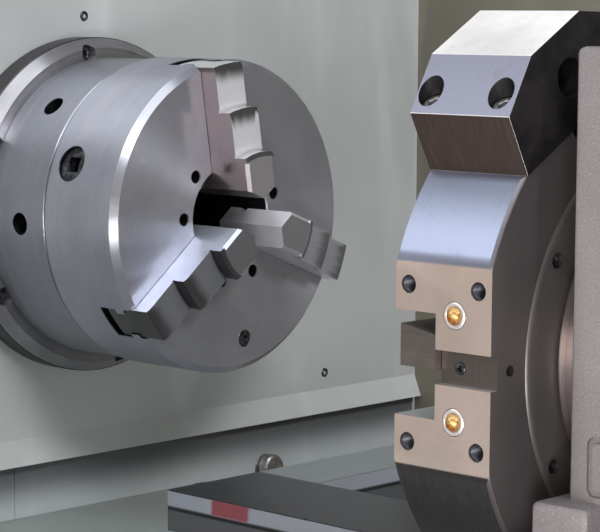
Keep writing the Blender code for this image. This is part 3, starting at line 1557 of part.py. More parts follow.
# The wedges: one in each free tool slot, with a sloped top, above the space for the tool's shank
WEDGE_BOTTOM = -0.0015
WEDGE_TOP_NEAR = 0.0182
WEDGE_TOP_FAR = 0.0146
WEDGE_NEAR = 0.0030
WEDGE_RADIAL_LENGTH = 0.052
wedge_outer = STATION_APOTHEM - SEAT_GAP
for number in range(STATION_COUNT):
    if number == HOLDER_STATION:
        continue
    outline = [
        (WEDGE_NEAR, -WEDGE_TOP_NEAR),
        (SLOT_LENGTH - SEAT_GAP, -WEDGE_TOP_FAR),
        (SLOT_LENGTH - SEAT_GAP, -WEDGE_BOTTOM),
        (WEDGE_NEAR, -WEDGE_BOTTOM),
    ]
    piece(
        f"tool_wedge_{number + 1}",
        prism(outline, "Y", wedge_outer - WEDGE_RADIAL_LENGTH, wedge_outer),
        DARK_STEEL,
        disc_line,
        turn=math.pi - number * STATION_ANGLE,
    )

# The boring bar holder: a chamfered block across one flat, bored along X and held by four cap screws
HOLDER_HALF_BASE = 0.0476
HOLDER_HALF_SHOULDER = 0.0467
HOLDER_SHOULDER = 0.0305
HOLDER_HALF_TOP = 0.0201
HOLDER_TOP = 0.0464
HOLDER_BORE_RISE = 0.0230
HOLDER_BORE_RADIUS = 0.0092
COUNTERBORE_RADIUS = 0.0068
COUNTERBORE_FLOOR = 0.0220
holder_base = STATION_APOTHEM + SEAT_GAP
holder_outline = []
for side in (-1, 1):
    flank = [
        (holder_base, side * HOLDER_HALF_BASE),
        (holder_base + HOLDER_SHOULDER, side * HOLDER_HALF_SHOULDER),
        (holder_base + HOLDER_TOP, side * HOLDER_HALF_TOP),
    ]
    holder_outline += flank if side < 0 else flank[::-1]
holder_bore = rod(
    "X",
    -CUT_OVERRUN,
    TURRET_DEPTH + CUT_OVERRUN,
    HOLDER_BORE_RADIUS,
    SMALL,
    (0, holder_base + HOLDER_BORE_RISE, 0),
)
counterbores = []
for side in (-1, 1):
    for near in (TAPPED_NEAR, TAPPED_FAR):
        counterbores.append(
            rod(
                "Y",
                holder_base + COUNTERBORE_FLOOR,
                holder_base + HOLDER_TOP,
                COUNTERBORE_RADIUS,
                SMALL,
                (near, 0, side * TAPPED_OFFSET),
            )
        )
piece(
    "boring_bar_holder",
    prism(holder_outline, "X", 0, TURRET_DEPTH),
    BRIGHT_STEEL,
    disc_line,
    turn=math.pi - HOLDER_STATION * STATION_ANGLE,
    cuts=[holder_bore, together(counterbores)],
)

# The tailstock: a base clamped on the ways and a body whose barrel holds the quill
TAIL_LEFT = 1.340
TAIL_RIGHT = 1.600
TAIL_BASE_HEIGHT = 0.045
BARREL_RADIUS = 0.058
BARREL_LENGTH = 0.250
WEB_INSET = 0.030
QUILL_RADIUS = 0.035
QUILL_LEFT = 1.290
QUILL_RIGHT = 1.560
QUILL_BORE_GAP = 0.0005
TAIL_SCREW_RADIUS = 0.0110
TAIL_SCREW_LEFT = 1.420
CENTRE_RADIUS = 0.024
CENTRE_LENGTH = 0.040
CENTRE_SHANK_RADIUS = 0.0115
CENTRE_SHANK = 0.050
END_WALL = 0.018
tail_line = carrier("tail_line", (0, 0, SPINDLE_HEIGHT))
quill_line = carrier("quill_line", (0, 0, 0))
quill_line.parent = tail_line
tail_bottom = WAY_HEIGHT + SEAT_GAP - SPINDLE_HEIGHT
tail_base_top = tail_bottom + TAIL_BASE_HEIGHT
piece(
    "tailstock_base",
    block((TAIL_LEFT, -BED_HALF_WIDTH, tail_bottom), (TAIL_RIGHT, BED_HALF_WIDTH, tail_base_top)),
    CAST_GREY,
    tail_line,
)
barrel_right = TAIL_LEFT + BARREL_LENGTH
tail_screw_bore = round_hole(TAIL_SCREW_RADIUS + SEAT_GAP, ROUND)
web = [
    (-BED_HALF_WIDTH + WEB_INSET, tail_base_top + SEAT_GAP),
    (BED_HALF_WIDTH - WEB_INSET, tail_base_top + SEAT_GAP),
    (BARREL_RADIUS - WELD, 0),
    (WELD - BARREL_RADIUS, 0),
]
piece(
    "tailstock_body",
    rod("X", TAIL_LEFT, barrel_right + END_WALL, BARREL_RADIUS, ROUND),
    PALE_PAINT,
    tail_line,
    adds=[prism(web, "X", TAIL_LEFT + WEB_INSET, barrel_right - WEB_INSET)],
    cuts=[
        turned(
            [
                (TAIL_LEFT - CUT_OVERRUN, 0),
                (TAIL_LEFT - CUT_OVERRUN, QUILL_RADIUS + SEAT_GAP),
                (barrel_right, QUILL_RADIUS + SEAT_GAP),
                (barrel_right, tail_screw_bore),
                (barrel_right + END_WALL + CUT_OVERRUN, tail_screw_bore),
                (barrel_right + END_WALL + CUT_OVERRUN, 0),
            ],
            "X",
            ROUND,
        )
    ],
)
quill_bore = round_hole(CENTRE_SHANK_RADIUS + QUILL_BORE_GAP, ROUND)
piece(
    "quill",
    tube("X", QUILL_LEFT, QUILL_RIGHT, quill_bore, QUILL_RADIUS, ROUND),
    GROUND_STEEL,
    quill_line,
)
WHEEL_X = 1.640
WHEEL_RADIUS = 0.100
WHEEL_RIM = 0.010
WHEEL_HUB = 0.022
WHEEL_HUB_LENGTH = 0.036
SPOKE_RADIUS = 0.006
SPOKE_COUNT = 3
GRIP_RADIUS = 0.010
GRIP_LENGTH = 0.060
WHEEL_STEPS = 20
piece(
    "quill_screw",
    rod("X", TAIL_SCREW_LEFT, WHEEL_X, TAIL_SCREW_RADIUS, SMALL),
    GROUND_STEEL,
    tail_line,
)


def wheel_rim():
    """The rim of the handwheel: a round section turned about the axis."""
    points = []
    for step in range(TINY // 2):
        angle = math.tau * step / (TINY // 2)
        points.append((WHEEL_X + WHEEL_RIM * math.cos(angle), WHEEL_RADIUS + WHEEL_RIM * math.sin(angle)))
    return turned(points, "X", WHEEL_STEPS)


spokes = []
for number in range(SPOKE_COUNT):
    spoke_root = (WHEEL_HUB + TAIL_SCREW_RADIUS) / 2
    spoke = rod("Y", spoke_root, WHEEL_RADIUS, SPOKE_RADIUS, TINY // 2, (WHEEL_X, 0, 0))
    spokes.append(moved(spoke, about_spindle(math.tau * number / SPOKE_COUNT + math.pi / 2)))
hub_left = barrel_right + END_WALL + SEAT_GAP
piece(
    "tailstock_handwheel",
    tube("X", hub_left, hub_left + WHEEL_HUB_LENGTH, TAIL_SCREW_RADIUS + SEAT_GAP, WHEEL_HUB, SMALL),
    DARK_STEEL,
    tail_line,
    adds=[
        *spokes,
        wheel_rim(),
        rod("X", WHEEL_X, WHEEL_X + GRIP_LENGTH, GRIP_RADIUS, TINY, (0, 0, WHEEL_RADIUS)),
    ],
)
centre_tip = QUILL_LEFT - SEAT_GAP - CENTRE_LENGTH - CENTRE_RADIUS * math.sqrt(3)
piece(
    "live_centre",
    turned(
        [
            (centre_tip, 0),
            (QUILL_LEFT - SEAT_GAP - CENTRE_LENGTH, CENTRE_RADIUS),
            (QUILL_LEFT - SEAT_GAP, CENTRE_RADIUS),
            (QUILL_LEFT - SEAT_GAP, CENTRE_SHANK_RADIUS),
            (QUILL_LEFT + CENTRE_SHANK, CENTRE_SHANK_RADIUS),
            (QUILL_LEFT + CENTRE_SHANK, 0),
        ],
        "X",
        SMALL,
    ),
    BRIGHT_STEEL,
    quill_line,
)
LEVER_X = 1.400
LEVER_RADIUS = 0.006
LEVER_HUB_RADIUS = 0.014
LEVER_HUB_HEIGHT = 0.026
LEVER_LENGTH = 0.090
LEVER_KNOB = 0.012
lever_bottom = BARREL_RADIUS + SEAT_GAP
lever_height = lever_bottom + LEVER_HUB_HEIGHT - LEVER_RADIUS * 2
lever_line = carrier("lever_line", (LEVER_X, 0, 0))
lever_line.parent = tail_line
piece(
    "quill_clamp_lever",
    rod("Z", lever_bottom, lever_bottom + LEVER_HUB_HEIGHT, LEVER_HUB_RADIUS, TINY),
    DARK_STEEL,
    lever_line,
    adds=[
        rod("Y", -LEVER_LENGTH, 0, LEVER_RADIUS, TINY, (0, 0, lever_height)),
        rod("Y", -LEVER_LENGTH - LEVER_KNOB, -LEVER_LENGTH, LEVER_KNOB, TINY, (0, 0, lever_height)),
    ],
)

# The guards behind and to the right: folded sheets that stand in the tray
RETURN_WIDTH = 0.040
END_PANEL_X = 1.930
guard_bottom = TRAY_TOP + SEAT_GAP
rear_outline = [
    (WALL_FACE + SEAT_GAP, CABINET_REAR - SHEET),
    (END_PANEL_X - SEAT_GAP, CABINET_REAR - SHEET),
    (END_PANEL_X - SEAT_GAP, CABINET_REAR),
    (WALL_FACE + SEAT_GAP, CABINET_REAR),
]
piece(
    "rear_guard",
    prism(rear_outline, "Z", guard_bottom, GUARD_TOP),
    OLIVE_PAINT,
    adds=[
        block(
            (WALL_FACE + SEAT_GAP, CABINET_REAR - SHEET - RETURN_WIDTH, GUARD_TOP - SHEET),
            (END_PANEL_X - SEAT_GAP, CABINET_REAR, GUARD_TOP),
        )
    ],
)
front_sheet = CABINET_FRONT - RETURN_WIDTH
right_outline = [
    (FRONT_PANEL_LEFT, CABINET_FRONT),
    (FRONT_PANEL_LEFT, front_sheet),
    (END_PANEL_X + SHEET, front_sheet),
    (END_PANEL_X + SHEET, CABINET_REAR),
    (END_PANEL_X, CABINET_REAR),
    (END_PANEL_X, front_sheet + SHEET),
    (FRONT_PANEL_LEFT + SHEET, front_sheet + SHEET),
    (FRONT_PANEL_LEFT + SHEET, CABINET_FRONT),
]
piece("right_guard", prism(right_outline, "Z", guard_bottom, GUARD_TOP), PALE_PAINT)

# The sliding door: a framed sheet with a window, between a rail on the tray and a beam across the top
BEAM_HEIGHT = 0.045
BEAM_DEPTH = 0.040
WINDOW_MARGIN = 0.170
WINDOW_LOW_MARGIN = 0.300
WINDOW_HIGH_MARGIN = 0.120
WINDOW_RADIUS = 0.030
PANE_LAP = 0.012
PANE_THICKNESS = 0.006
GROOVE_GRIP = 0.008
door_bottom = rail_top - GROOVE_GRIP
beam_bottom = GUARD_TOP + SEAT_GAP
door_top = beam_bottom - SEAT_GAP
piece(
    "top_beam",
    block(
        (CABINET_LEFT, CABINET_FRONT - BEAM_DEPTH, beam_bottom),
        (END_PANEL_X + SHEET, CABINET_FRONT + BEAM_DEPTH, beam_bottom + BEAM_HEIGHT),
    ),
    PALE_PAINT,
)
door_line = carrier("door_line", (0, 0, 0))
window_low = (DOOR_LEFT + WINDOW_MARGIN, door_bottom + WINDOW_LOW_MARGIN)
window_high = (DOOR_RIGHT - WINDOW_MARGIN, door_top - WINDOW_HIGH_MARGIN)
pane_middle = door_front + DOOR_THICKNESS / 2


def window_prism(margin, start, end):
    outline = rounded_outline(
        (window_low[0] - margin, window_low[1] - margin),
        (window_high[0] + margin, window_high[1] + margin),
        WINDOW_RADIUS + margin,
        4,
    )
    return prism(outline, "Y", start, end)


piece(
    "sliding_door",
    block((DOOR_LEFT, door_front, door_bottom), (DOOR_RIGHT, door_rear, door_top)),
    PALE_PAINT,
    door_line,
    cuts=[
        window_prism(0, door_front - CUT_OVERRUN, door_rear + CUT_OVERRUN),
        window_prism(PANE_LAP, pane_middle - PANE_THICKNESS / 2, door_rear + CUT_OVERRUN),
        block(
            (DOOR_LEFT - CUT_OVERRUN, door_middle - RAIL_WIDTH / 2 - SLIDING_GAP, door_bottom - CUT_OVERRUN),
            (DOOR_RIGHT + CUT_OVERRUN, door_middle + RAIL_WIDTH / 2 + SLIDING_GAP, rail_top + SEAT_GAP),
        ),
    ],
)
piece(
    "door_window",
    window_prism(
        PANE_LAP - SEAT_GAP, pane_middle - PANE_THICKNESS / 2 + SEAT_GAP, pane_middle + PANE_THICKNESS / 2
    ),
    CLEAR_PANE,
    door_line,
)
HANDLE_RADIUS = 0.011
HANDLE_REACH = 0.050
HANDLE_POST_RADIUS = 0.009
HANDLE_LENGTH = 0.260
HANDLE_INSET = 0.070
handle_x = DOOR_RIGHT - HANDLE_INSET
handle_middle = (door_bottom + door_top) / 2
handle_y = door_front - HANDLE_REACH
post_offset = HANDLE_LENGTH / 2 - HANDLE_RADIUS * 2
piece(
    "door_handle",
    rod(
        "Z",
        handle_middle - HANDLE_LENGTH / 2,
        handle_middle + HANDLE_LENGTH / 2,
        HANDLE_RADIUS,
        TINY,
        (handle_x, handle_y, 0),
    ),
    BLACK_PLASTIC,
    door_line,
    adds=[
        rod("Y", handle_y, door_front - SEAT_GAP, HANDLE_POST_RADIUS, TINY, (handle_x, 0, post_height))
        for post_height in (handle_middle - post_offset, handle_middle + post_offset)
    ],
)

# The operator's console on the front right guard: a box with a sunk screen and a stop button
CONSOLE_LEFT = 1.340
CONSOLE_RIGHT = 1.760
CONSOLE_LOW = 0.960
CONSOLE_HIGH = 1.360
CONSOLE_DEPTH = 0.080
CONSOLE_EDGE = 0.008
SCREEN_MARGIN = 0.030
SCREEN_HEIGHT = 0.190
SCREEN_RIGHT_MARGIN = 0.130
SCREEN_DEPTH = 0.004
STOP_INSET = 0.060
STOP_RADIUS = 0.020
STOP_TOP_SHARE = 0.8
STOP_STEM_RADIUS = 0.011
STOP_STEM = 0.020
STOP_HEAD = 0.014
STOP_RISE = 0.008
console_rear = front_sheet - SEAT_GAP
console_front = console_rear - CONSOLE_DEPTH
stop_place = (CONSOLE_RIGHT - STOP_INSET, 0, CONSOLE_LOW + STOP_INSET)
screen_top = CONSOLE_HIGH - SCREEN_MARGIN
screen_low = (CONSOLE_LEFT + SCREEN_MARGIN, console_front - CUT_OVERRUN, screen_top - SCREEN_HEIGHT)
screen_high = (CONSOLE_RIGHT - SCREEN_RIGHT_MARGIN, console_front + SCREEN_DEPTH, screen_top)
piece(
    "operator_console",
    eased_block(
        (CONSOLE_LEFT, console_front, CONSOLE_LOW), (CONSOLE_RIGHT, console_rear, CONSOLE_HIGH), CONSOLE_EDGE
    ),
    DARK_PAINT,
    cuts=[
        block(screen_low, screen_high),
        rod(
            "Y",
            console_front - CUT_OVERRUN,
            console_front + STOP_STEM + STOP_RISE,
            STOP_STEM_RADIUS + SLIDING_GAP,
            SMALL,
            stop_place,
        ),
    ],
)
stop_line = carrier("stop_line", (0, 0, 0))
piece(
    "emergency_stop",
    turned(
        [
            (console_front - STOP_RISE - STOP_HEAD, 0),
            (console_front - STOP_RISE - STOP_HEAD, STOP_RADIUS * STOP_TOP_SHARE),
            (console_front - STOP_RISE - STOP_HEAD / 2, STOP_RADIUS),
            (console_front - STOP_RISE, STOP_RADIUS),
            (console_front - STOP_RISE, STOP_STEM_RADIUS),
            (console_front + STOP_STEM, STOP_STEM_RADIUS),
            (console_front + STOP_STEM, 0),
        ],
        "Y",
        SMALL,
    ),
    RED_PLASTIC,
    stop_line,
    place=stop_place,
)
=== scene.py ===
"""A flat-bed CNC turning lathe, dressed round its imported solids.

Metres, +Z up. X runs along the spindle towards the tailstock, Y away from the operator.
X = 0 is the chuck's front face and Z = 1.05 is the spindle's height.
"""

import math

import bmesh
import bpy
from mathutils import Matrix, Vector


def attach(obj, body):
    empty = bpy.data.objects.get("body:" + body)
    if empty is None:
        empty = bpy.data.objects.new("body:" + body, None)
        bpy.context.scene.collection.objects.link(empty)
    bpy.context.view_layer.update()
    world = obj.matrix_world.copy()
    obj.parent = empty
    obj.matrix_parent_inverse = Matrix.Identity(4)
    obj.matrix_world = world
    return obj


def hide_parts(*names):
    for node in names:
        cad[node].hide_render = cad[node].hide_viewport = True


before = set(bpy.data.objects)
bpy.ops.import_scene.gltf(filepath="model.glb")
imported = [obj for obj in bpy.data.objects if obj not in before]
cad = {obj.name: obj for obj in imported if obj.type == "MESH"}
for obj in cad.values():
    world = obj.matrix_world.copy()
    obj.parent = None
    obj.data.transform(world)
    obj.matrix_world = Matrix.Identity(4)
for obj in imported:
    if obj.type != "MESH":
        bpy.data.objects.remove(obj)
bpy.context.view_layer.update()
SPINDLE_HEIGHT = 1.05

# Studio. The camera looks over the open door at chuck and turret. Soft light falls through the open top
# and the doorway, as from workshop windows: cool from above, warm from the operator's side.
camera = bpy.data.objects.new("camera", bpy.data.cameras.new("camera"))
bpy.context.scene.collection.objects.link(camera)
bpy.context.scene.camera = camera
camera.data.sensor_width = 36
camera.data.lens = 135.86
camera.data.clip_end = 50
YAW = math.radians(46.428)
PITCH = math.radians(6.262)
ROLL = math.radians(0.361)
ahead = Vector((-math.cos(YAW) * math.cos(PITCH), math.sin(YAW) * math.cos(PITCH), -math.sin(PITCH)))
aside = ahead.cross(Vector((0, 0, 1))).normalized()
above = aside.cross(ahead)
rightward = aside * math.cos(ROLL) + above * math.sin(ROLL)
upward = above * math.cos(ROLL) - aside * math.sin(ROLL)
stance = Matrix((rightward, upward, -ahead)).transposed().to_4x4()
camera.matrix_world = Matrix.Translation((1.2745, -1.2599, SPINDLE_HEIGHT + 0.1578)) @ stance


def lamp(name, place, target, size, power, tint):
    """A soft rectangular lamp, aimed at a point."""
    light = bpy.data.lights.new(name, "AREA")
    light.shape = "RECTANGLE"
    light.size, light.size_y = size
    light.energy = power
    light.color = tint
    holder = bpy.data.objects.new(name, light)
    holder.location = place
    holder.rotation_euler = (Vector(target) - Vector(place)).to_track_quat("-Z", "Y").to_euler()
    bpy.context.scene.collection.objects.link(holder)


lamp("roof_lamp", (0.4, -0.72, 3.3), (0.4, 0, 1), (2.6, 2.0), 45, (0.93, 0.97, 1.0))
lamp("window_lamp", (-1.4, -2.6, 2.9), (0.3, -0.1, 1.05), (1.6, 1.2), 24, (0.84, 0.91, 1.0))
lamp("side_lamp", (2.0, -0.8, 2.35), (-0.1, 0, 1.05), (0.6, 0.4), 30, (0.95, 0.97, 1.0))
lamp("aisle_lamp", (1.2, -3.0, 1.15), (0.4, -0.2, 1.0), (2.2, 0.9), 38, (1.0, 0.88, 0.8))
lamp("knee_lamp", (1.35, -1.28, 0.78), (-0.18, 0, 0.9), (0.5, 0.3), 9, (0.95, 0.97, 1.0))

world = bpy.data.worlds.new("workshop")
bpy.context.scene.world = world
world.use_nodes = True
air = world.node_tree.nodes
backdrop = air["Background"]
direction = air.new("ShaderNodeTexCoord")
split = air.new("ShaderNodeSeparateXYZ")
rise = air.new("ShaderNodeMapRange")
rise.inputs["From Min"].default_value = -1
daylight = air.new("ShaderNodeValToRGB")
sky = daylight.color_ramp.elements
sky.new(0.5)
sky.new(0.6)
for step, (place, colour) in zip(sky, (
    (0.0, (0.12, 0.11, 0.1, 1)), (0.45, (0.26, 0.23, 0.21, 1)), (0.56, (0.66, 0.63, 0.61, 1)),
    (1.0, (0.82, 0.88, 0.96, 1)),
)):
    step.position = place
    step.color = colour
rear = air.new("ShaderNodeMapRange")
for socket, value in (("From Min", -0.4), ("From Max", 0.6), ("To Min", 0.95), ("To Max", 0.22)):
    rear.inputs[socket].default_value = value
for output, entry in (
    (direction.outputs["Generated"], split.inputs[0]), (split.outputs["Z"], rise.inputs["Value"]),
    (rise.outputs[0], daylight.inputs["Fac"]), (daylight.outputs["Color"], backdrop.inputs["Color"]),
    (split.outputs["Y"], rear.inputs["Value"]), (rear.outputs[0], backdrop.inputs["Strength"]),
):
    world.node_tree.links.new(output, entry)
bpy.context.scene.view_settings.view_transform = "Standard"

bpy.ops.mesh.primitive_plane_add(size=14, location=(0.5, 0, 0))
floor = bpy.context.object
floor.name = "floor"
floor_paint = bpy.data.materials.new("pale floor")
floor_paint.use_nodes = True
floor_shader = floor_paint.node_tree.nodes["Principled BSDF"]
floor_shader.inputs["Base Color"].default_value = (0.62, 0.62, 0.6, 1)
floor_shader.inputs["Roughness"].default_value = 0.7
floor.data.materials.append(floor_paint)


# Sheet-metal guards: folded 2.5 mm steel, sprayed pale grey-green. The paint has a fine orange-peel skin,
# patches from wiping and, in the recess, a painted shadow under the lip. Screen values become light by a
# power of 2.4.
SCREEN_FOOT = 14.025


class Wire:
    """A value on its way through a material. Sums on it add the nodes that work them out."""

    def __init__(self, finish, socket):
        self.finish = finish
        self.socket = socket

    def sum(self, operation, *others):
        """This value and others through one Math node."""
        return self.finish.node("Math", [self, *others], operation=operation)

    def __add__(self, other):
        return self.sum("ADD", other)

    __radd__ = __add__

    def __sub__(self, other):
        return self.sum("SUBTRACT", other)

    def __rsub__(self, other):
        return self.finish.node("Math", [other, self], operation="SUBTRACT")

    def __mul__(self, other):
        return self.sum("MULTIPLY", other)

    __rmul__ = __mul__

    def __truediv__(self, other):
        return self.sum("DIVIDE", other)

    def __pow__(self, other):
        return self.sum("POWER", other)

    def __abs__(self):
        return self.sum("ABSOLUTE")

    def step(self, low, high):
        """0 below low and 1 above high, smoothly between. With low above high it falls instead."""
        values = {"Value": self, "From Min": low, "From Max": high}
        return self.finish.node("MapRange", values, interpolation_type="SMOOTHSTEP")

    def span(self, low, high):
        """Stretches 0 to 1 over low to high."""
        return self * (high - low) + low


class Finish:
    """One procedural material, on a single Principled shader. Its colours are 0 to 255 screen values."""

    def __init__(self, name, metallic=0.0, **constants):
        self.material = bpy.data.materials.new(name)
        self.material.use_nodes = True
        self.tree = self.material.node_tree
        self.shader = self.tree.nodes["Principled BSDF"]
        self.shader.inputs["Metallic"].default_value = metallic
        for socket, value in constants.items():
            self.shader.inputs[socket.replace("_", " ")].default_value = value
        self.place = self.node("TexCoord", {}, "Object")

    def feed(self, socket, value):
        """Links a wire to a socket, or sets the socket's own value."""
        if isinstance(value, Wire):
            self.tree.links.new(value.socket, socket)
        elif isinstance(value, tuple) and socket.type == "RGBA":
            light = [((part + SCREEN_FOOT) / (255 + SCREEN_FOOT)) ** 2.4 for part in value]
            socket.default_value = (*light, 1)
        else:
            socket.default_value = value

    def node(self, kind, values=(), output=0, **settings):
        """Any node: its settings first, then the values or links of its sockets."""
        made = self.tree.nodes.new("ShaderNode" + kind)
        for name, setting in settings.items():
            setattr(made, name, setting)
        pairs = values.items() if isinstance(values, dict) else enumerate(values)
        for socket, value in pairs:
            self.feed(made.inputs[socket], value)
        return Wire(self, made.outputs[output])

    def apart(self, vector=None):
        """The three coordinates of the surface, in metres, or the three parts of another vector."""
        split = self.node("SeparateXYZ", [vector or self.place])
        outputs = split.socket.node.outputs
        return [Wire(self, outputs[axis]) for axis in "XYZ"]

    def noise(self, scale, detail=3.0, roughness=0.55, stretch=None, distortion=0.0):
        """Cloudy noise, 0 to 1, with this many blots to the metre."""
        place = self.place
        if stretch:
            place = self.node("VectorMath", [place, stretch], operation="MULTIPLY")
        values = {"Scale": scale, "Detail": detail, "Roughness": roughness, "Distortion": distortion}
        return self.node("TexNoise", {"Vector": place, **values})

    def mix(self, factor, low, high):
        """A colour between two others."""
        return self.node("Mix", {0: factor, 6: low, 7: high}, 2, data_type="RGBA")

    def bump(self, height, distance, strength=1.0):
        """A surface normal that follows this height."""
        return self.node("Bump", {"Height": height, "Distance": distance, "Strength": strength})

    def done(self, colour, roughness, normal, **others):
        """Joins the finished colour, roughness and normal to the shader."""
        sockets = {"Base Color": colour, "Roughness": roughness, "Normal": normal, **others}
        for socket, value in sockets.items():
            if value is not None:
                self.feed(self.shader.inputs[socket.replace("_", " ")], value)
        return self.material


def sprayed_paint(name, main, worn, gloss=0.42, haze_and_shade=None):
    """Sprayed machine paint: orange peel, wiped patches, specks and, if asked, a painted shadow between two
    heights.
    """
    paint = Finish(name)
    patches = paint.noise(3.1, 4, 0.6)
    wipes = paint.noise(14, 3, 0.5, (1, 1, 0.25), 0.6)
    specks = paint.noise(420, 2, 0.5).step(0.72, 0.8)
    colour = paint.mix(patches.step(0.35, 0.75), main, worn)
    lighter = tuple(min(255, (part + SCREEN_FOOT) * 1.5 ** (1 / 2.4) - SCREEN_FOOT) for part in main)
    colour = paint.mix(wipes.step(0.5, 0.8) * 0.35, colour, lighter)
    colour = paint.mix(specks * 0.35, colour, (92, 88, 78))
    # If asked, the colour darkens between two heights, a painted shadow.
    if haze_and_shade:
        _, _, height = paint.apart()
        colour = paint.mix(height.step(*haze_and_shade) * 0.85, colour, (66, 68, 70))
    peel = paint.noise(330, 2, 0.5)
    return paint.done(colour, wipes.span(gloss - 0.08, gloss + 0.16), paint.bump(peel, 0.00012, 0.5))


def ease(made, edge, sharp=30):
    """Smooth faces and small bevels on the sharp edges."""
    made.data.shade_smooth()
    made.data.set_sharp_from_angle(angle=math.radians(sharp))
    easing = made.modifiers.new("eased edges", "BEVEL")
    easing.width = edge
    easing.segments = 2
    easing.limit_method = "ANGLE"
    easing.angle_limit = math.radians(sharp)
    easing.harden_normals = True


def dress(finish, *names, edge=0.0008):
    """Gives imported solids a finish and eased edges."""
    for name in names:
        cad[name].data.materials.clear()
        cad[name].data.materials.append(finish)
        ease(cad[name], edge)


GUARD_FACE = -0.6004
WALL_FACE = -0.1806
pale_paint = sprayed_paint("pale grey paint", (182, 184, 182), (169, 172, 171))
# The rear guard's olive paint is darkened to stand for the shade that lies on it, a painted shade.
olive_paint = sprayed_paint("olive grey paint", (112, 108, 94), (96, 92, 82), 0.5)
dark_paint = sprayed_paint("dark grey paint", (84, 88, 90), (74, 78, 80), 0.5)
# The recess panel's paint darkens just under the wall's lip, a painted shadow.
recess_paint = sprayed_paint("recess paint", (186, 190, 190), (174, 180, 182), 0.42, (0.788, 0.824))
dress(recess_paint, "recess_panel")
dress(pale_paint, "headstock_wall", "headstock_cover", "end_cover", "chip_tray")
# The front guard, beam and door take a darker copy of the pale paint, a painted shade against the strong
# light on their fronts.
front_paint = sprayed_paint("front grey paint", (148, 151, 149), (137, 140, 138))
dress(front_paint, "right_guard", "top_beam", "sliding_door", edge=0.0012)
dress(olive_paint, "rear_guard")


# Chuck. A three-jaw scroll chuck of turned steel in two halves, with fine turning marks round its axis. The
# front half carries jaws and pinions, the rear half hides six cap screws in deep pockets, and a chamfered
# back plate bolts both to the spindle.
CHUCK_RADIUS = 0.125
CHUCK_BORE = 0.041
CHUCK_SEAM = -0.083
CHUCK_BACK = -0.15
PLATE_RADIUS = 0.1405
PLATE_THICKNESS = 0.03
JAW_ANGLES = [math.radians(99 + 120 * number) for number in range(3)]
PINION_ANGLES = [angle + math.radians(60) for angle in JAW_ANGLES]
PINION_X = -0.0574
POCKET_X = -0.1125
POCKET_SPREAD = math.radians(23.6)
FINE = 192


def spun(rings, steps=96, closed=False, capped=True):
    """A shape turned from (height, radius) rings. A third number gives a ring that many flat sides."""
    if capped and not closed:
        low, high = ([(ring[0], 0)] if ring[1] else [] for ring in (rings[0], rings[-1]))
        rings = [*low, *rings, *high]
    shape = bmesh.new()
    loops = []
    for height, radius, *sides in rings:
        loop = []
        for step in range(steps if radius else 1):
            angle = math.tau * step / steps
            reach = radius
            if sides:
                half = math.pi / sides[0]
                reach = radius * math.cos(half) / math.cos(angle % (half * 2) - half)
            loop.append(shape.verts.new((reach * math.cos(angle), reach * math.sin(angle), height)))
        loops.append(loop)
    if closed:
        loops.append(loops[0])
    for low, high in zip(loops, loops[1:]):
        for step in range(steps):
            beside = (step + 1) % steps
            corners = []
            for loop, spot in ((low, step), (low, beside), (high, beside), (high, step)):
                corner = loop[spot % len(loop)]
                if corner not in corners:
                    corners.append(corner)
            shape.faces.new(corners)
    bmesh.ops.recalc_face_normals(shape, faces=shape.faces)
    return shape


def rod(low, high, radius, steps=96):
    """A plain round bar, or the cutter for a round hole."""
    return spun([(low, radius), (high, radius)], steps)


def join_loops(shape, loops):
    """Faces from each loop of corners to the next."""
    for low, high in zip(loops, loops[1:]):
        for spot in range(len(low)):
            beside = (spot + 1) % len(low)
            shape.faces.new((low[spot], low[beside], high[beside], high[spot]))


def pushed(outline, start, end):
    """An outline of (x, y) points, pushed along Z."""
    shape = bmesh.new()
    low, high = ([shape.verts.new((x, y, height)) for x, y in outline] for height in (start, end))
    shape.faces.new(low[::-1])
    shape.faces.new(high)
    join_loops(shape, [low, high])
    bmesh.ops.recalc_face_normals(shape, faces=shape.faces)
    return shape


def mirrored(half):
    """A whole outline of (depth, across) points, from its half on one side."""
    return half + [(depth, -across) for depth, across in reversed(half)]


def slab(low, high):
    """A box between two opposite corners."""
    corners = ((low[0], low[1]), (high[0], low[1]), (high[0], high[1]), (low[0], high[1]))
    return pushed(corners, low[2], high[2])


def put(shape, matrix):
    """Moves a loose shape and gives it back."""
    bmesh.ops.transform(shape, matrix=matrix, verts=shape.verts)
    return shape


def loose_object(name, shape):
    """An object in the scene from a loose shape, which is used up."""
    mesh = bpy.data.meshes.new(name)
    shape.to_mesh(mesh)
    shape.free()
    made = bpy.data.objects.new(name, mesh)
    bpy.context.scene.collection.objects.link(made)
    return made


def solid(name, shape, finish, body, place=Matrix(), edge=0.0004, adds=(), cuts=()):
    """One finished piece: cut to shape, its edges eased, fixed to the body that it moves with."""
    made = loose_object(name, shape)
    helpers = []
    for operation, others in (("UNION", adds), ("DIFFERENCE", cuts)):
        for other in others:
            helper = loose_object("helper", other)
            helpers.append(helper)
            change = made.modifiers.new("helper", "BOOLEAN")
            change.operation = operation
            change.object = helper
    if helpers:
        ready = bpy.context.evaluated_depsgraph_get()
        made.data = bpy.data.meshes.new_from_object(made.evaluated_get(ready))
        made.modifiers.clear()
        for helper in helpers:
            bpy.data.objects.remove(helper)
    made.data.materials.clear()
    made.data.materials.append(finish)
    ease(made, edge)
    made.matrix_world = place
    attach(made, body)
    return made


def on_line(x, y=0.0, z=SPINDLE_HEIGHT):
    """A place whose own Z runs along the machine's X from this point, with its own X along Y."""
    along = Matrix(((0, 0, 1, 0), (1, 0, 0, 0), (0, 1, 0, 0), (0, 0, 0, 1)))
    return Matrix.Translation((x, y, z)) @ along


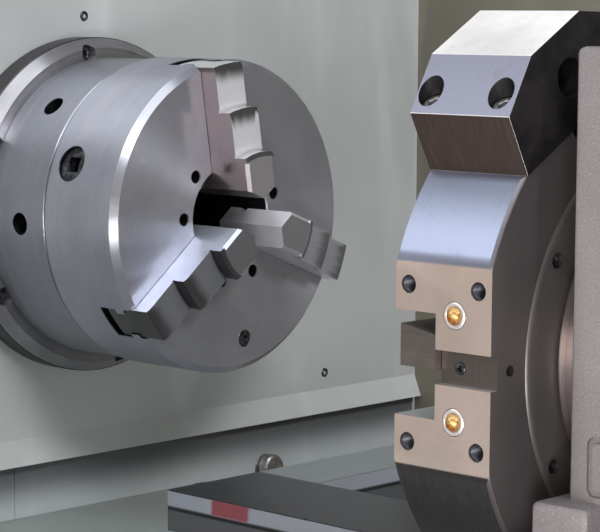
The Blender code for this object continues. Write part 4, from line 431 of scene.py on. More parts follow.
def around(angle, along=0.0, reach=0.0):
    """The place of a detail on a spun piece, its own Z pointing out from the axis."""
    lean = Matrix.Rotation(math.pi / 2, 4, "Y")
    return Matrix.Rotation(angle, 4, "Z") @ Matrix.Translation((reach, 0, along)) @ lean


def facing(angle, along, reach):
    """The place of a detail on a spun piece's end face, its own Z along the axis."""
    return Matrix.Rotation(angle, 4, "Z") @ Matrix.Translation((reach, 0, along))


def turned_steel(name, light, dark, tint, scale=1.0, metallic=1.0, hollow_shade=None, rim=None):
    """Turned steel: rings of tool marks, a stretched highlight, oily patches, and painted shade in hollows
    and on the rim.
    """
    steel = Finish(name, metallic, Anisotropic=0.88, Anisotropic_Rotation=0.25)
    across, height, along = steel.apart()
    radius = (across ** 2 + height ** 2) ** 0.5
    rings = steel.node("CombineXYZ", [radius * 900, along * 900, 0])
    marks = steel.node("TexNoise", {"Vector": rings, "Scale": 1.0, "Detail": 3})
    bands = steel.node("TexNoise", {"Vector": rings, "Scale": 0.06, "Detail": 2})
    clouds = steel.noise(22 * scale, 4, 0.6)
    stains = steel.noise(60 * scale, 5, 0.65, None, 0.8).step(0.58, 0.75)
    colour = steel.mix(clouds.step(0.3, 0.7), dark, light)
    colour = steel.mix(bands.step(0.35, 0.65) * 0.35, colour, tint)
    colour = steel.mix(marks.step(0.4, 0.75) * 0.16, colour, (222, 224, 228))
    colour = steel.mix(stains * 0.14, colour, (104, 100, 98))
    if hollow_shade:
        # Holes, slots, pockets and bore between two heights turn near black, a painted shade.
        outside, low, high = hollow_shade
        holes = radius.step(outside - 0.0006, outside - 0.001) * along.step(low, low + 0.0004)
        holes = holes * along.step(high, high - 0.0004)
        slots = radius.step(0.118, 0.1176) * along.step(-0.0012, -0.0016)
        colour = steel.mix(holes.sum("MAXIMUM", slots), colour, (30, 30, 32))
    if rim:
        # The outer rim is painted darker, a painted shade.
        colour = steel.mix(radius.step(rim - 0.0012, rim - 0.0006), colour, (74, 72, 74))
    roughness = marks.span(0.27, 0.38) + stains * 0.1
    return steel.done(colour, roughness, steel.bump(marks, 0.00004, 0.5))


spindle_line = on_line(0)
# The last three numbers of each chuck half bound its holes, slots, pockets and bore, which get painted
# shade.
chuck_steel = turned_steel(
    "turned chuck steel", (184, 183, 191), (166, 165, 174), (170, 175, 192), 0.7, 0.8,
    (CHUCK_RADIUS, CHUCK_SEAM + 0.0037, -0.0054),
)
rear_steel = turned_steel(
    "turned rear steel", (156, 156, 163), (142, 142, 149), (146, 150, 165), 0.7, 0.8,
    (0.1235, CHUCK_BACK + 0.001, CHUCK_SEAM - 0.0014),
)

slots = []
for angle in JAW_ANGLES:
    wide = 0.0154
    tongue = 0.0114
    half = [
        (-0.002, wide), (0.0106, wide), (0.0106, tongue), (0.0194, tongue), (0.0194, wide), (0.037, wide),
    ]
    slots.append(put(pushed(mirrored(half), 0, CHUCK_RADIUS + 0.002), around(angle)))
face_holes = []
pinion_holes = []
pockets = []
for angle in PINION_ANGLES:
    pinion_holes.append(put(rod(0.095, 0.127, 0.0145), around(angle, PINION_X)))
    for side in (-1, 1):
        drilled = spun([(-0.018, 0), (-0.016, 0.0052), (0.002, 0.0052)], 32)
        face_holes.append(put(drilled, facing(angle + side * math.radians(20), 0, 0.0512)))
        pocket = rod(0.099, 0.127, 0.009, 64)
        pockets.append(put(pocket, around(angle + side * POCKET_SPREAD, POCKET_X)))
face_holes.append(put(rod(-0.004, 0.002, 0.007, 48), facing(PINION_ANGLES[1], 0, 0.1)))
chuck_front = solid(
    "chuck_front",
    spun([
        (CHUCK_SEAM, CHUCK_BORE), (CHUCK_SEAM, 0.0465), (-0.03, 0.0465), (-0.03, 0.1045),
        (CHUCK_SEAM, 0.1045), (CHUCK_SEAM, 0.1222), (CHUCK_SEAM + 0.0035, CHUCK_RADIUS),
        (-0.005, CHUCK_RADIUS), (0, 0.12), (0, CHUCK_BORE + 0.001), (-0.001, CHUCK_BORE),
    ], FINE, True),
    chuck_steel, "spindle", spindle_line, 0.0005, cuts=[*slots, *face_holes, *pinion_holes],
)
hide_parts("chuck_body")
chuck_rear = solid(
    "chuck_rear",
    spun([
        (CHUCK_BACK, CHUCK_BORE), (CHUCK_BACK, 0.1229), (CHUCK_BACK + 0.0006, 0.1235),
        (CHUCK_SEAM - 0.001, 0.1235), (CHUCK_SEAM - 0.0003, 0.1228), (CHUCK_SEAM - 0.0003, 0.072),
        (-0.079, 0.072), (-0.079, 0.0468), (CHUCK_SEAM, 0.0468), (CHUCK_SEAM, CHUCK_BORE),
    ], FINE, True),
    rear_steel, "spindle", spindle_line, 0.0004, cuts=pockets,
)
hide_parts("chuck_rear_body")

# The back plate's outer rim is painted darker, a painted shade.
plate_steel = turned_steel(
    "turned plate steel", (164, 161, 164), (134, 131, 134), (150, 148, 156), 1.0, 0.8,
    rim=PLATE_RADIUS,
)
plate_front = CHUCK_BACK - 0.0003
plate_back = plate_front - PLATE_THICKNESS
BOLT_CIRCLE = 0.1278
first_bolt = math.radians(154.8)
bolt_angles = [
    first_bolt + side * math.radians(57.2) + half * math.pi for half in (0, 1) for side in (-1, 0, 1)
]
seat_rings = [(-0.018, 0), (-0.008, 0.0076), (0.01, 0.0076)]
bolt_seats = []
for angle in bolt_angles:
    seat = spun([(plate_front + height, radius) for height, radius in seat_rings], 40)
    bolt_seats.append(put(seat, facing(angle, 0, BOLT_CIRCLE)))
back_plate = solid(
    "back_plate",
    spun([
        (plate_back, CHUCK_BORE), (plate_back, PLATE_RADIUS - 0.001), (plate_back + 0.001, PLATE_RADIUS),
        (plate_front - 0.01, PLATE_RADIUS), (plate_front, PLATE_RADIUS - 0.0085),
        (plate_front, CHUCK_BORE),
    ], FINE, True),
    plate_steel, "spindle", spindle_line, 0.0005, cuts=bolt_seats,
)
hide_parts("chuck_back_plate")


def cap_screw(radius, depth=0.004, key=0.5):
    """A socket cap screw's head, its top at 0, with a hexagonal key hole."""
    across = radius * key
    chamfer = min(radius * 0.12, depth * 0.4)
    floor = min(radius * 0.7, depth * 0.8)
    return spun([
        (-depth, radius), (-chamfer, radius), (0, radius - chamfer), (0, across * 1.12),
        (-chamfer / 2, across, 6), (-floor, across, 6), (-floor * 1.05, 0),
    ], 48)


def screw_steel(name, main, worn, metallic=0.9):
    """Oiled screw steel, a little worn in cloudy patches."""
    steel = Finish(name, metallic)
    clouds = steel.noise(160, 3, 0.6)
    colour = steel.mix(clouds.step(0.4, 0.7), main, worn)
    return steel.done(colour, clouds.span(0.26, 0.42), steel.bump(clouds, 0.00005, 0.3))


def bolts(name, radius, places, finish, body="frame", depth=0.004, edge=None):
    """A row of socket cap screws, each at its own place."""
    for number, place in enumerate(places):
        head = cap_screw(radius, depth)
        solid(f"{name}_{number + 1}", head, finish, body, place, edge or radius * 0.04)


black_screws = screw_steel("black screw steel", (58, 58, 62), (112, 112, 116))
bright_screws = screw_steel("bright screw steel", (168, 166, 164), (206, 204, 202))
plate_places = [spindle_line @ facing(angle, plate_front - 0.006, BOLT_CIRCLE) for angle in bolt_angles]
bolts("plate_bolt", 0.0068, plate_places, black_screws, "spindle", depth=0.008, edge=0.0002)
pocket_angles = [angle + side * POCKET_SPREAD for angle in PINION_ANGLES for side in (-1, 1)]
pocket_places = [spindle_line @ around(angle, POCKET_X, 0.1085) for angle in pocket_angles]
bolts("body_screw", 0.0078, pocket_places, black_screws, "spindle", depth=0.008, edge=0.0002)
place = spindle_line @ facing(PINION_ANGLES[1], -0.0006, 0.1)
solid("face_screw", cap_screw(0.0066, 0.003), black_screws, "spindle", place, 0.0002)


def jaw_steel(name, face, flank, crown, riser, metallic=0.85):
    """Hardened jaw steel: ground steps, risers, slopes and finely ground sides, coloured with painted light
    and shade.
    """
    steel = Finish(name, 1.0)
    x, y, along = steel.apart()
    way = steel.node("TexCoord", {}, "Normal")
    across, upward, out = steel.apart(way)
    outward = (x * across + y * upward) / (x ** 2 + y ** 2) ** 0.5
    ground = out.step(0.987, 0.996)
    lines = steel.noise(50, 3, 0.5, (1, 1, 30))
    clouds = steel.noise(40, 4, 0.6)
    colour = steel.mix(clouds.step(0.3, 0.75) * 0.12, flank, (60, 58, 58))
    # Slopes facing partly along the axis turn darker, a painted shade.
    colour = steel.mix(out.step(0.5, 0.9), colour, (108, 106, 108))
    # Risers facing outward get their own colour, painted light and shade set for each jaw.
    colour = steel.mix(outward.step(0.75, 0.9) * out.step(0.3, 0.2), colour, riser)
    # Ground step faces and the crown get colours set for each jaw, painted light and shade.
    colour = steel.mix(ground, colour, steel.mix(along.step(0.034, 0.036), face, crown))
    colour = steel.mix(lines.step(0.5, 0.8) * 0.04, colour, (226, 224, 226))
    normal = steel.bump(lines, 0.000005, 0.15)
    rough = lines.span(0.27, 0.29) + ground * 0.2
    return steel.done(colour, rough, normal, Metallic=metallic - ground * (metallic - 0.4))


JAW_TIP = 0.0176
JAW_STEPS = ((0.028, 0.04, 0.054), (0.016, 0.028, 0.0885), (-0.037, 0.016, 0.1235))
jaw_half = [(-0.04, 0.015), (0.011, 0.015), (0.011, 0.011), (0.019, 0.011), (0.019, 0.015), (0.03, 0.015)]
# Each jaw has its own copy of the steel, coloured for how the light falls on it: painted highlights where it
# looks bright, painted shade where it looks dark.
jaw_metals = [
    jaw_steel("upper jaw steel", (210, 208, 212), (132, 120, 118), (142, 138, 138), (236, 234, 234)),
    jaw_steel("left jaw steel", (112, 113, 118), (226, 230, 244), (104, 102, 104), (92, 90, 90)),
    jaw_steel("right jaw steel", (150, 150, 156), (226, 224, 228), (122, 120, 122), (150, 148, 150), 0.4),
]
for number, angle in enumerate(JAW_ANGLES):
    cuts = []
    for low, high, riser in JAW_STEPS:
        slope = riser - 0.0035
        step = [
            (low, riser), (high - 0.0012, riser), (high, slope), (0.042, slope), (0.042, 0.15), (low, 0.15),
        ]
        cuts.append(spun(step, FINE, True))
        if low > 0:
            near, far = riser - 0.0003, riser + 0.0016
            relief = [(low - 0.0009, near), (low + 0.001, near), (low + 0.001, far), (low - 0.0009, far)]
            cuts.append(spun(relief, FINE, True))
    reach = JAW_TIP + 0.03 / math.tan(math.radians(60))
    wedge = [(0, -0.03), (reach, -0.03), (JAW_TIP, 0), (reach, 0.03), (0, 0.03)]
    cuts.append(put(pushed(wedge, -0.04, 0.042), Matrix.Rotation(angle, 4, "Z")))
    for side in (-1, 1):
        chamfer = [(-0.0405, side * 0.012), (-0.0405, side * 0.016), (-0.0365, side * 0.016)]
        cuts.append(put(pushed(chamfer, 0, 0.0478), around(angle)))
    bar = put(pushed(mirrored(jaw_half), 0.008, 0.127), around(angle))
    name = f"jaw_{number + 1}"
    jaw = solid(name, bar, jaw_metals[number], name, spindle_line, 0.0004, cuts=cuts)
    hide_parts(f"chuck_jaw_{number + 1}")
    dress(black_screws, f"chuck_pinion_{number + 1}", edge=0.0004)
dress(bright_screws, "chuck_scroll", edge=0.0003)


# Turret. A forged disc with six ground flats, blued sides and a coolant nozzle on each side of a free tool
# slot. A wedge sits in each free slot, and one flat carries a boring bar holder under four cap screws.
TURRET_X = 0.5917
TURRET_Y = -0.3495
TURRET_DEPTH = 0.0581
TURRET_RADIUS = 0.1378
APOTHEM = 0.1284
SLOT_LENGTH = 0.0242
SLOT_HALF = 0.0245
KEYWAY_FLOOR = 0.1237
STATIONS = [math.pi - math.radians(60) * number for number in range(6)]
HALF_STATION = math.radians(30)
SIDE_CIRCLE = 0.0957
HOLDER_STATION = 1
TAPPED_PLACES = [(along, side * 0.0366) for along in (0.0078, 0.0488) for side in (-1, 1)]
TAPPED_RADIUS = 0.0042
NOZZLE_PLACES = [(0.0352, side * 0.0244) for side in (-1, 1)]
NOZZLE_RADIUS = 0.0062
holder_base = APOTHEM + 0.0003
turret_line = on_line(TURRET_X, TURRET_Y)


def at_station(angle, along, across=0.0, reach=0.0):
    """A place on one of the disc's flats, its own Z pointing out."""
    return around(angle, along, reach) @ Matrix.Translation((0, across, 0))


def ground_steel(name, flat, side, roughness=0.36, flank=None, rims=False, metallic=0.85):
    """Ground steel with blued end faces, fine grinding lines and a trace of oil, with painted light and
    shade on the holder's faces and the disc's slots and rims.
    """
    steel = Finish(name, 0.8)
    x, y, z = steel.apart()
    normal = steel.node("TexCoord", {}, "Normal")
    ends = abs(steel.node("SeparateXYZ", [normal], "Z")).step(0.55, 0.8)
    lines = steel.noise(60, 3, 0.5, (1, 1, 60))
    clouds = steel.noise(30, 4, 0.6)
    smears = steel.noise(75, 5, 0.7, None, 1.2).step(0.55, 0.8)
    colour = steel.mix(clouds.step(0.3, 0.75) * 0.3, flat, (150, 142, 134))
    if flank:
        tangent = tuple((-math.sin(STATIONS[HOLDER_STATION]), math.cos(STATIONS[HOLDER_STATION]), 0))
        lean = abs(steel.node("VectorMath", [normal, tangent], "Value", operation="DOT_PRODUCT"))
        # The holder's flank turns dark brown, a painted shade.
        colour = steel.mix(lean.step(0.93, 0.97), colour, flank)
        # Its chamfers turn bluish grey, a painted reflection.
        colour = steel.mix(lean.step(0.4, 0.46) * lean.step(0.62, 0.56), colour, (128, 128, 142))
        across = x * tangent[0] + y * tangent[1]
        rise = x * tangent[1] - y * tangent[0] - holder_base
        bar_bore = (across ** 2 + (rise - 0.023) ** 2) ** 0.5
        screw_bore = ((abs(across) - 0.0366) ** 2 + (abs(z - 0.0283) - 0.0205) ** 2) ** 0.5
        # The bar bore and screw counterbores turn near black, a painted shade.
        colour = steel.mix(bar_bore.step(0.0096, 0.0093), colour, (34, 33, 34))
        colour = steel.mix(screw_bore.step(0.00702, 0.00692), colour, (40, 40, 43))
    if rims:
        reach = [abs(x * math.cos(angle) + y * math.sin(angle)) for angle in STATIONS[:3]]
        widest = reach[0].sum("MAXIMUM", reach[1]).sum("MAXIMUM", reach[2])
        radius = (x ** 2 + y ** 2) ** 0.5
        # The rim is bluish grey, a painted reflection, and dark on its lower side, a painted shade.
        low_rim = (x * math.cos(math.radians(210)) + y * math.sin(math.radians(210))).step(0.125, 0.133)
        rim = steel.mix(low_rim, (136, 141, 158), (56, 54, 56))
        _, upward, _ = steel.apart(normal)
        # Slot and keyway walls turn dark brown, a painted shade, and their up-facing faces pale, a painted
        # highlight.
        wall = steel.mix(upward.step(0.9, 0.97), (96, 88, 84), (206, 210, 210))
        colour = steel.mix(widest.step(0.1281, 0.1277), colour, wall)
        colour = steel.mix(radius.step(0.1366, 0.137), colour, rim)
    colour = steel.mix(lines.step(0.45, 0.8) * 0.05, colour, (226, 220, 214))
    dark = steel.mix(clouds.step(0.3, 0.7) * 0.5, side, (74, 70, 70))
    colour = steel.mix(ends, colour, dark)
    colour = steel.mix(smears * 0.22, colour, (96, 86, 78))
    rough = lines.span(roughness - 0.03, roughness + 0.04) + smears * 0.08
    normal = steel.bump(lines, 0.00001, 0.15)
    return steel.done(colour, rough, normal, Metallic=metallic - ends * (metallic - 0.4))


turret_steel = ground_steel("ground turret steel", (206, 188, 177), (88, 82, 82), rims=True)
# The holder's flat is painted near white, a painted highlight, and its flank dark brown, a painted shade.
holder_steel = ground_steel(
    "ground holder steel", (255, 251, 249), (22, 21, 23), flank=(62, 50, 46), metallic=0.6
)
wedge_steel = ground_steel("wedge steel", (104, 98, 94), (96, 92, 90))
nozzle_steel = screw_steel("nozzle ring steel", (238, 232, 232), (248, 244, 244))
brass = screw_steel("nozzle brass", (186, 146, 92), (206, 170, 116), 0.8)
# The threads are dark and dull, a painted shade inside the tapped holes.
thread_steel = screw_steel("thread steel", (40, 40, 46), (66, 68, 78), 0.2)

disc_cuts = []
disc_holes = []
for angle in STATIONS:
    for low, high in (
        ((-0.06, -0.058, APOTHEM), (0.002, 0.058, 0.142)),
        ((-SLOT_LENGTH, -SLOT_HALF, 0.0684), (0.002, SLOT_HALF, 0.142)),
        ((-0.06, -0.008, KEYWAY_FLOOR), (-0.0235, 0.008, 0.142)),
    ):
        disc_cuts.append(put(slab(low, high), around(angle)))
    disc_holes.append(put(rod(KEYWAY_FLOOR - 0.004, 0.14, 0.003, 32), at_station(angle, 0.0353)))
    for along, across in TAPPED_PLACES:
        drilled = [
            (APOTHEM - 0.018, 0), (APOTHEM - 0.016, TAPPED_RADIUS), (APOTHEM - 0.0003, TAPPED_RADIUS),
            (APOTHEM + 0.0001, TAPPED_RADIUS + 0.0002), (0.1395, TAPPED_RADIUS + 0.0002),
        ]
        disc_holes.append(put(spun(drilled, 40), at_station(angle, along, across)))
    for along, across in NOZZLE_PLACES:
        seat = rod(APOTHEM - 0.006, 0.14, NOZZLE_RADIUS + 0.0003, 48)
        disc_holes.append(put(seat, at_station(angle, along, across)))
    disc_holes.append(put(rod(0.052, 0.06, 0.0038, 32), facing(angle + HALF_STATION, 0, SIDE_CIRCLE)))
    disc_holes.append(put(rod(0.052, 0.06, 0.0027, 24), facing(angle, 0, 0.1145)))
turret_disc = solid(
    "turret_face",
    spun([
        (-0.012, 0.0505), (-0.0105, 0.052), (0, 0.052), (0, 0.1363), (0.0015, TURRET_RADIUS),
        (0.0551, TURRET_RADIUS), (0.0566, 0.1363), (0.0566, 0.1036), (0.0574, 0.103), (0.0581, 0.1015),
        (0.0581, 0.032), (0.2883, 0.032),
    ], FINE),
    turret_steel, "turret_disc", turret_line, 0.0003, cuts=disc_cuts + disc_holes,
)
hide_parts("turret_disc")


def threads(low, high, radius, pitch=0.00125, depth=0.0006):
    """The inside of a tapped hole, as rings in and out."""
    rings = []
    height = low
    while height < high:
        rings += [(height, radius), (height + pitch / 2, radius - depth)]
        height += pitch
    return spun(rings, 32, capped=False)


def on_disc(name, shape, finish, place, edge=0, cuts=()):
    """A small piece that turns with the disc."""
    solid(name, shape, finish, "turret_disc", turret_line @ place, edge, cuts=cuts)


nozzle_ring = [
    (-0.005, NOZZLE_RADIUS), (0.0001, NOZZLE_RADIUS), (0.0005, NOZZLE_RADIUS - 0.0005), (0.0005, 0.0047),
    (0.0001, 0.0043), (-0.005, 0.0043),
]
ball = [(-0.0053, 0)]
for turn in [math.pi * step / 16 for step in range(1, 16)]:
    ball.append((-0.001 - 0.0043 * math.cos(turn), 0.0043 * math.sin(turn)))
ball.append((0.0033, 0))
set_screw = [
    (-0.004, 0.0029), (0.0003, 0.0029), (0.0007, 0.0025), (0.0007, 0.0017), (0.0003, 0.0015, 6),
    (-0.002, 0.0015, 6), (-0.0022, 0),
]
for number, angle in enumerate(STATIONS):
    station = f"station_{number + 1}"
    for hole, (along, across) in enumerate(TAPPED_PLACES):
        thread = threads(APOTHEM - 0.0165, APOTHEM - 0.0003, TAPPED_RADIUS - 0.00002)
        place = at_station(angle, along, across)
        on_disc(f"{station}_thread_{hole + 1}", thread, thread_steel, place)
        if number == HOLDER_STATION:
            place = at_station(angle, along, across, holder_base + 0.0308)
            head = cap_screw(0.0065, 0.0086, 0.52)
            on_disc(f"holder_screw_{hole + 1}", head, bright_screws, place, 0.0002)
    for side, (along, across) in enumerate(NOZZLE_PLACES):
        if number == HOLDER_STATION:
            continue
        place = at_station(angle, along, across, APOTHEM)
        ring = spun(nozzle_ring, 64, True)
        on_disc(f"{station}_nozzle_ring_{side + 1}", ring, nozzle_steel, place)
        spray = put(rod(0.001, 0.006, 0.0022, 32), Matrix.Rotation(math.radians(-48), 4, "X"))
        name = f"{station}_nozzle_ball_{side + 1}"
        on_disc(name, spun(ball, 48), brass, place, cuts=[spray])
    place = at_station(angle, 0.0353, 0, KEYWAY_FLOOR)
    on_disc(f"{station}_set_screw", spun(set_screw, 48), black_screws, place)
    place = facing(angle + HALF_STATION, 0.056, SIDE_CIRCLE)
    on_disc(f"side_screw_{number + 1}", cap_screw(0.0034), black_screws, place)

holder_outline = [
    (holder_base, -0.0476), (holder_base + 0.0305, -0.0467), (holder_base + 0.0464, -0.0201),
    (holder_base + 0.0464, 0.0201), (holder_base + 0.0305, 0.0467), (holder_base, 0.0476),
]
holder_angle = STATIONS[HOLDER_STATION]
holder_turn = Matrix.Rotation(holder_angle, 4, "Z")
bar_place = holder_turn @ Matrix.Translation((holder_base + 0.023, 0, 0))
holder_cuts = [put(rod(-0.002, 0.0601, 0.0092, 64), bar_place)]
for along, across in TAPPED_PLACES:
    bore = rod(holder_base + 0.022, 0.18, 0.0068, 64)
    holder_cuts.append(put(bore, at_station(holder_angle, along, across)))
holder = solid(
    "bar_holder", put(pushed(holder_outline, 0, TURRET_DEPTH), holder_turn), holder_steel, "turret_disc",
    turret_line, 0.00025, cuts=holder_cuts,
)
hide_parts("boring_bar_holder")
dress(wedge_steel, *(f"tool_wedge_{number}" for number in (1, 3, 4, 5, 6)), edge=0.0003)


# Slides. Grey iron castings with a fine peened grain and a trace of oil: the turret housing with its
# grooved cover, cross slide, saddle and apron. Screws, servo motors and wipers are bought parts.
HOUSING_X = 0.6705
HOUSING_LENGTH = 0.26
HOUSING_HALF = 0.1
HOUSING_RISE = 0.146
HOUSING_BASE = -0.0851
LUG_DROP = -0.0575
SLIDE_TOP = 0.9646
SADDLE_FACE = -0.4004
APRON_FACE = -0.245
LONG_SCREW = (-0.205, 0.78)
CROSS_SCREW_X = 0.866
CROSS_SCREW_Z = 0.9103


def on_front(x, y, z):
    """A place whose own Z points to the operator, with its X to the right and its Y up."""
    out = Matrix(((1, 0, 0, 0), (0, 0, -1, 0), (0, 1, 0, 0), (0, 0, 0, 1)))
    return Matrix.Translation((x, y, z)) @ out


def on_rear(x, y, z):
    """The same for a face that points away from the operator."""
    return on_front(x, y, z) @ Matrix.Rotation(math.pi, 4, "Y")


def on_top(x, y, z):
    """A place whose own Z points up."""
    return Matrix.Translation((x, y, z))


def rounded(low, high, radius, steps=5):
    """A rectangle's outline with round corners."""
    points = []
    for quarter, (x, y) in enumerate((
        (high[0] - radius, high[1] - radius), (low[0] + radius, high[1] - radius),
        (low[0] + radius, low[1] + radius), (high[0] - radius, low[1] + radius),
    )):
        for step in range(steps + 1):
            angle = (quarter + step / steps) * math.pi / 2
            points.append((x + radius * math.cos(angle), y + radius * math.sin(angle)))
    return points


def band(outer, inner, start, end):
    """A closed band between two outlines of as many points, pushed along Z."""
    shape = bmesh.new()
    loops = []
    for outline, height in ((outer, start), (outer, end), (inner, end), (inner, start)):
        loops.append([shape.verts.new((x, y, height)) for x, y in outline])
    loops.append(loops[0])
    join_loops(shape, loops)
    bmesh.ops.recalc_face_normals(shape, faces=shape.faces)
    return shape


def grown(low, high, margin, radius):
    """A round-cornered outline, larger by this margin."""
    return rounded((low[0] - margin, low[1] - margin), (high[0] + margin, high[1] + margin), radius + margin)


def soft_slab(low, high, radius, segments=3):
    """A box with every edge rounded."""
    shape = slab(low, high)
    bmesh.ops.bevel(shape, geom=shape.edges, offset=radius, segments=segments, profile=0.5, affect="EDGES")
    return shape


def cast_iron(name, main, dark, metallic=0.35):
    """Peened grey iron: a fine bright and dark grain, cloudy patches and a little oil."""
    iron = Finish(name, metallic)
    clouds = iron.noise(9, 4, 0.6)
    grain = iron.noise(950, 3, 0.65)
    oil = iron.noise(45, 4, 0.6, None, 0.8)
    colour = iron.mix(clouds.step(0.3, 0.7), main, dark)
    colour = iron.mix(grain.step(0.52, 0.74) * 0.35, colour, (190, 184, 184))
    colour = iron.mix(grain.step(0.46, 0.28) * 0.4, colour, (92, 86, 84))
    colour = iron.mix(oil.step(0.58, 0.8) * 0.22, colour, (128, 112, 102))
    return iron.done(colour, oil.span(0.4, 0.62), iron.bump(grain, 0.00018, 0.6))


housing_iron = cast_iron("peened grey iron", (138, 132, 132), (124, 118, 119))
slide_iron = cast_iron("oiled grey iron", (136, 133, 130), (112, 110, 108), 0.5)

groove_low = (0.0105, -0.0545)
groove_high = (HOUSING_LENGTH - 0.021, -0.027)
groove_inner = grown(groove_low, groove_high, -0.003, 0.0055)
groove = band(rounded(groove_low, groove_high, 0.004), groove_inner, -0.002, 0.001)
shaft_bore = rod(-0.001, 0.2115, 0.0332)
put(shaft_bore, Matrix.Translation((0, 0, -HOUSING_HALF)) @ Matrix.Rotation(math.pi / 2, 4, "Y"))
lugs = []
for left in (-0.01, HOUSING_LENGTH - 0.031):
    for near in (0.014, -HOUSING_HALF * 2 + 0.03):
        lugs.append(soft_slab((left, HOUSING_BASE, near - 0.044), (left + 0.031, LUG_DROP, near), 0.003))
housing = solid(
    "housing_casting",
    soft_slab((0, HOUSING_BASE, -HOUSING_HALF * 2), (HOUSING_LENGTH, HOUSING_RISE, 0), 0.0035),
    housing_iron, "cross_slide", on_front(HOUSING_X, TURRET_Y - HOUSING_HALF, SPINDLE_HEIGHT),
    0.0005, lugs, [groove, shaft_bore],
)
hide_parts("turret_housing")

ring_steel = turned_steel("turned ring steel", (150, 138, 136), (126, 112, 108), (140, 130, 130))
hub_ring = solid(
    "hub_ring",
    spun([
        (0.0001, 0.034), (0.0001, 0.0775), (0.0008, 0.0785), (0.0008, 0.0822), (0.0014, 0.083),
        (0.0195, 0.083), (0.0199, 0.0826), (0.0199, 0.034),
    ], FINE, True),
    ring_steel, "cross_slide", on_line(0.6501, TURRET_Y), 0.0002,
)
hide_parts("turret_bearing_ring")
cover_face = TURRET_Y - HOUSING_HALF - 0.0012
cover_places = [on_front(HOUSING_X + x, cover_face, SPINDLE_HEIGHT - 0.0408) for x in (0.024, 0.226)]
bolts("cover_screw", 0.0045, cover_places, black_screws, "cross_slide", depth=0.0022)
dress(slide_iron, "saddle", "cross_slide", "left_screw_bearing", "right_screw_bearing", "tailstock_base")
dress(pale_paint, "apron", edge=0.002)
slide_rows = (-0.47, -0.35, -0.23, -0.11, 0.01)
slide_places = [on_top(x, y, SLIDE_TOP - 0.0004) for x in (0.672, 1.06) for y in slide_rows]
bolts("slide_screw", 0.006, slide_places, black_screws, "cross_slide", depth=0.0018)
apron_places = [on_front(x, APRON_FACE - 0.0018, z) for x in (0.735, 0.997) for z in (0.775, 0.848)]
bolts("apron_screw", 0.007, apron_places, black_screws, "saddle", depth=0.0016)
gib_places = [on_front(x, SADDLE_FACE - 0.0014, 0.886) for x in (0.72, 0.8, 0.93, 1.01)]
bolts("saddle_screw", 0.005, gib_places, black_screws, "saddle", depth=0.0008)

rubber = Finish("black rubber")
rubber_grain = rubber.noise(260, 4, 0.6)
dust = rubber.noise(30, 4, 0.7).step(0.5, 0.8)
rubber_colour = rubber.mix(rubber_grain, (26, 26, 27), (40, 39, 38))
rubber_skin = rubber.done(
    rubber.mix(dust * 0.3, rubber_colour, (92, 88, 82)), rubber_grain.span(0.6, 0.85),
    rubber.bump(rubber_grain, 0.0002, 0.5),
)
wiper = [(-0.05, -0.0002), (0.05, -0.0002), (0.05, 0.014), (0.046, 0.02), (-0.046, 0.02), (-0.05, 0.014)]
wiper_plate = rounded((-0.046, 0.006), (0.046, 0.019), 0.003)
for number, (x, lip) in enumerate(((0.656, -1), (1.076, 1))):
    for side, y in enumerate((-0.1025, 0.1025)):
        for name, outline, near, far, finish, slot, edge in (
            ("wiper", wiper, 0.0002, 0.0045, rubber_skin, "belt_rubber", 0.0006),
            ("wiper_plate", wiper_plate, 0.0045, 0.006, bright_screws, "bright_steel", 0.0003),
        ):
            shape = pushed(outline, *sorted((lip * near, lip * far)))
            place = on_line(x, y, 0.8653)
            solid(f"{name}_{number + 1}_{side + 1}", shape, finish, "saddle", place, edge)


def screw_rod(start, end, radius, pitch, depth, steps=24):
    """A long screw with a helical groove."""
    shape = bmesh.new()
    loops = []
    count = int((end - start) / pitch * 5)
    for ring in range(count + 1):
        height = start + (end - start) * ring / count
        loop = []
        for step in range(steps):
            angle = math.tau * step / steps
            dip = max(0.0, math.sin(math.tau * height / pitch - angle))
            reach = radius - depth * dip ** 0.5
            loop.append(shape.verts.new((reach * math.cos(angle), reach * math.sin(angle), height)))
        loops.append(loop)
    shape.faces.new(loops[0][::-1])
    shape.faces.new(loops[-1])
    join_loops(shape, loops)
    return shape


screw_metal = turned_steel("ground screw steel", (196, 198, 202), (150, 152, 158), (176, 170, 160))
long_screw = solid(
    "long_screw_threads", screw_rod(0, 1.465, 0.0159, 0.01, 0.0022), screw_metal, "z_screw",
    on_line(0.125, *LONG_SCREW), 0,
)
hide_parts("z_screw")
cross_screw = solid(
    "cross_screw_threads", screw_rod(0.002, 0.66, 0.0089, 0.005, 0.0012, 16), screw_metal, "x_screw",
    on_rear(CROSS_SCREW_X, -0.4, CROSS_SCREW_Z), 0,
)
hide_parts("x_screw")

servo_paint = sprayed_paint("black motor paint", (34, 34, 36), (44, 44, 46), 0.38)


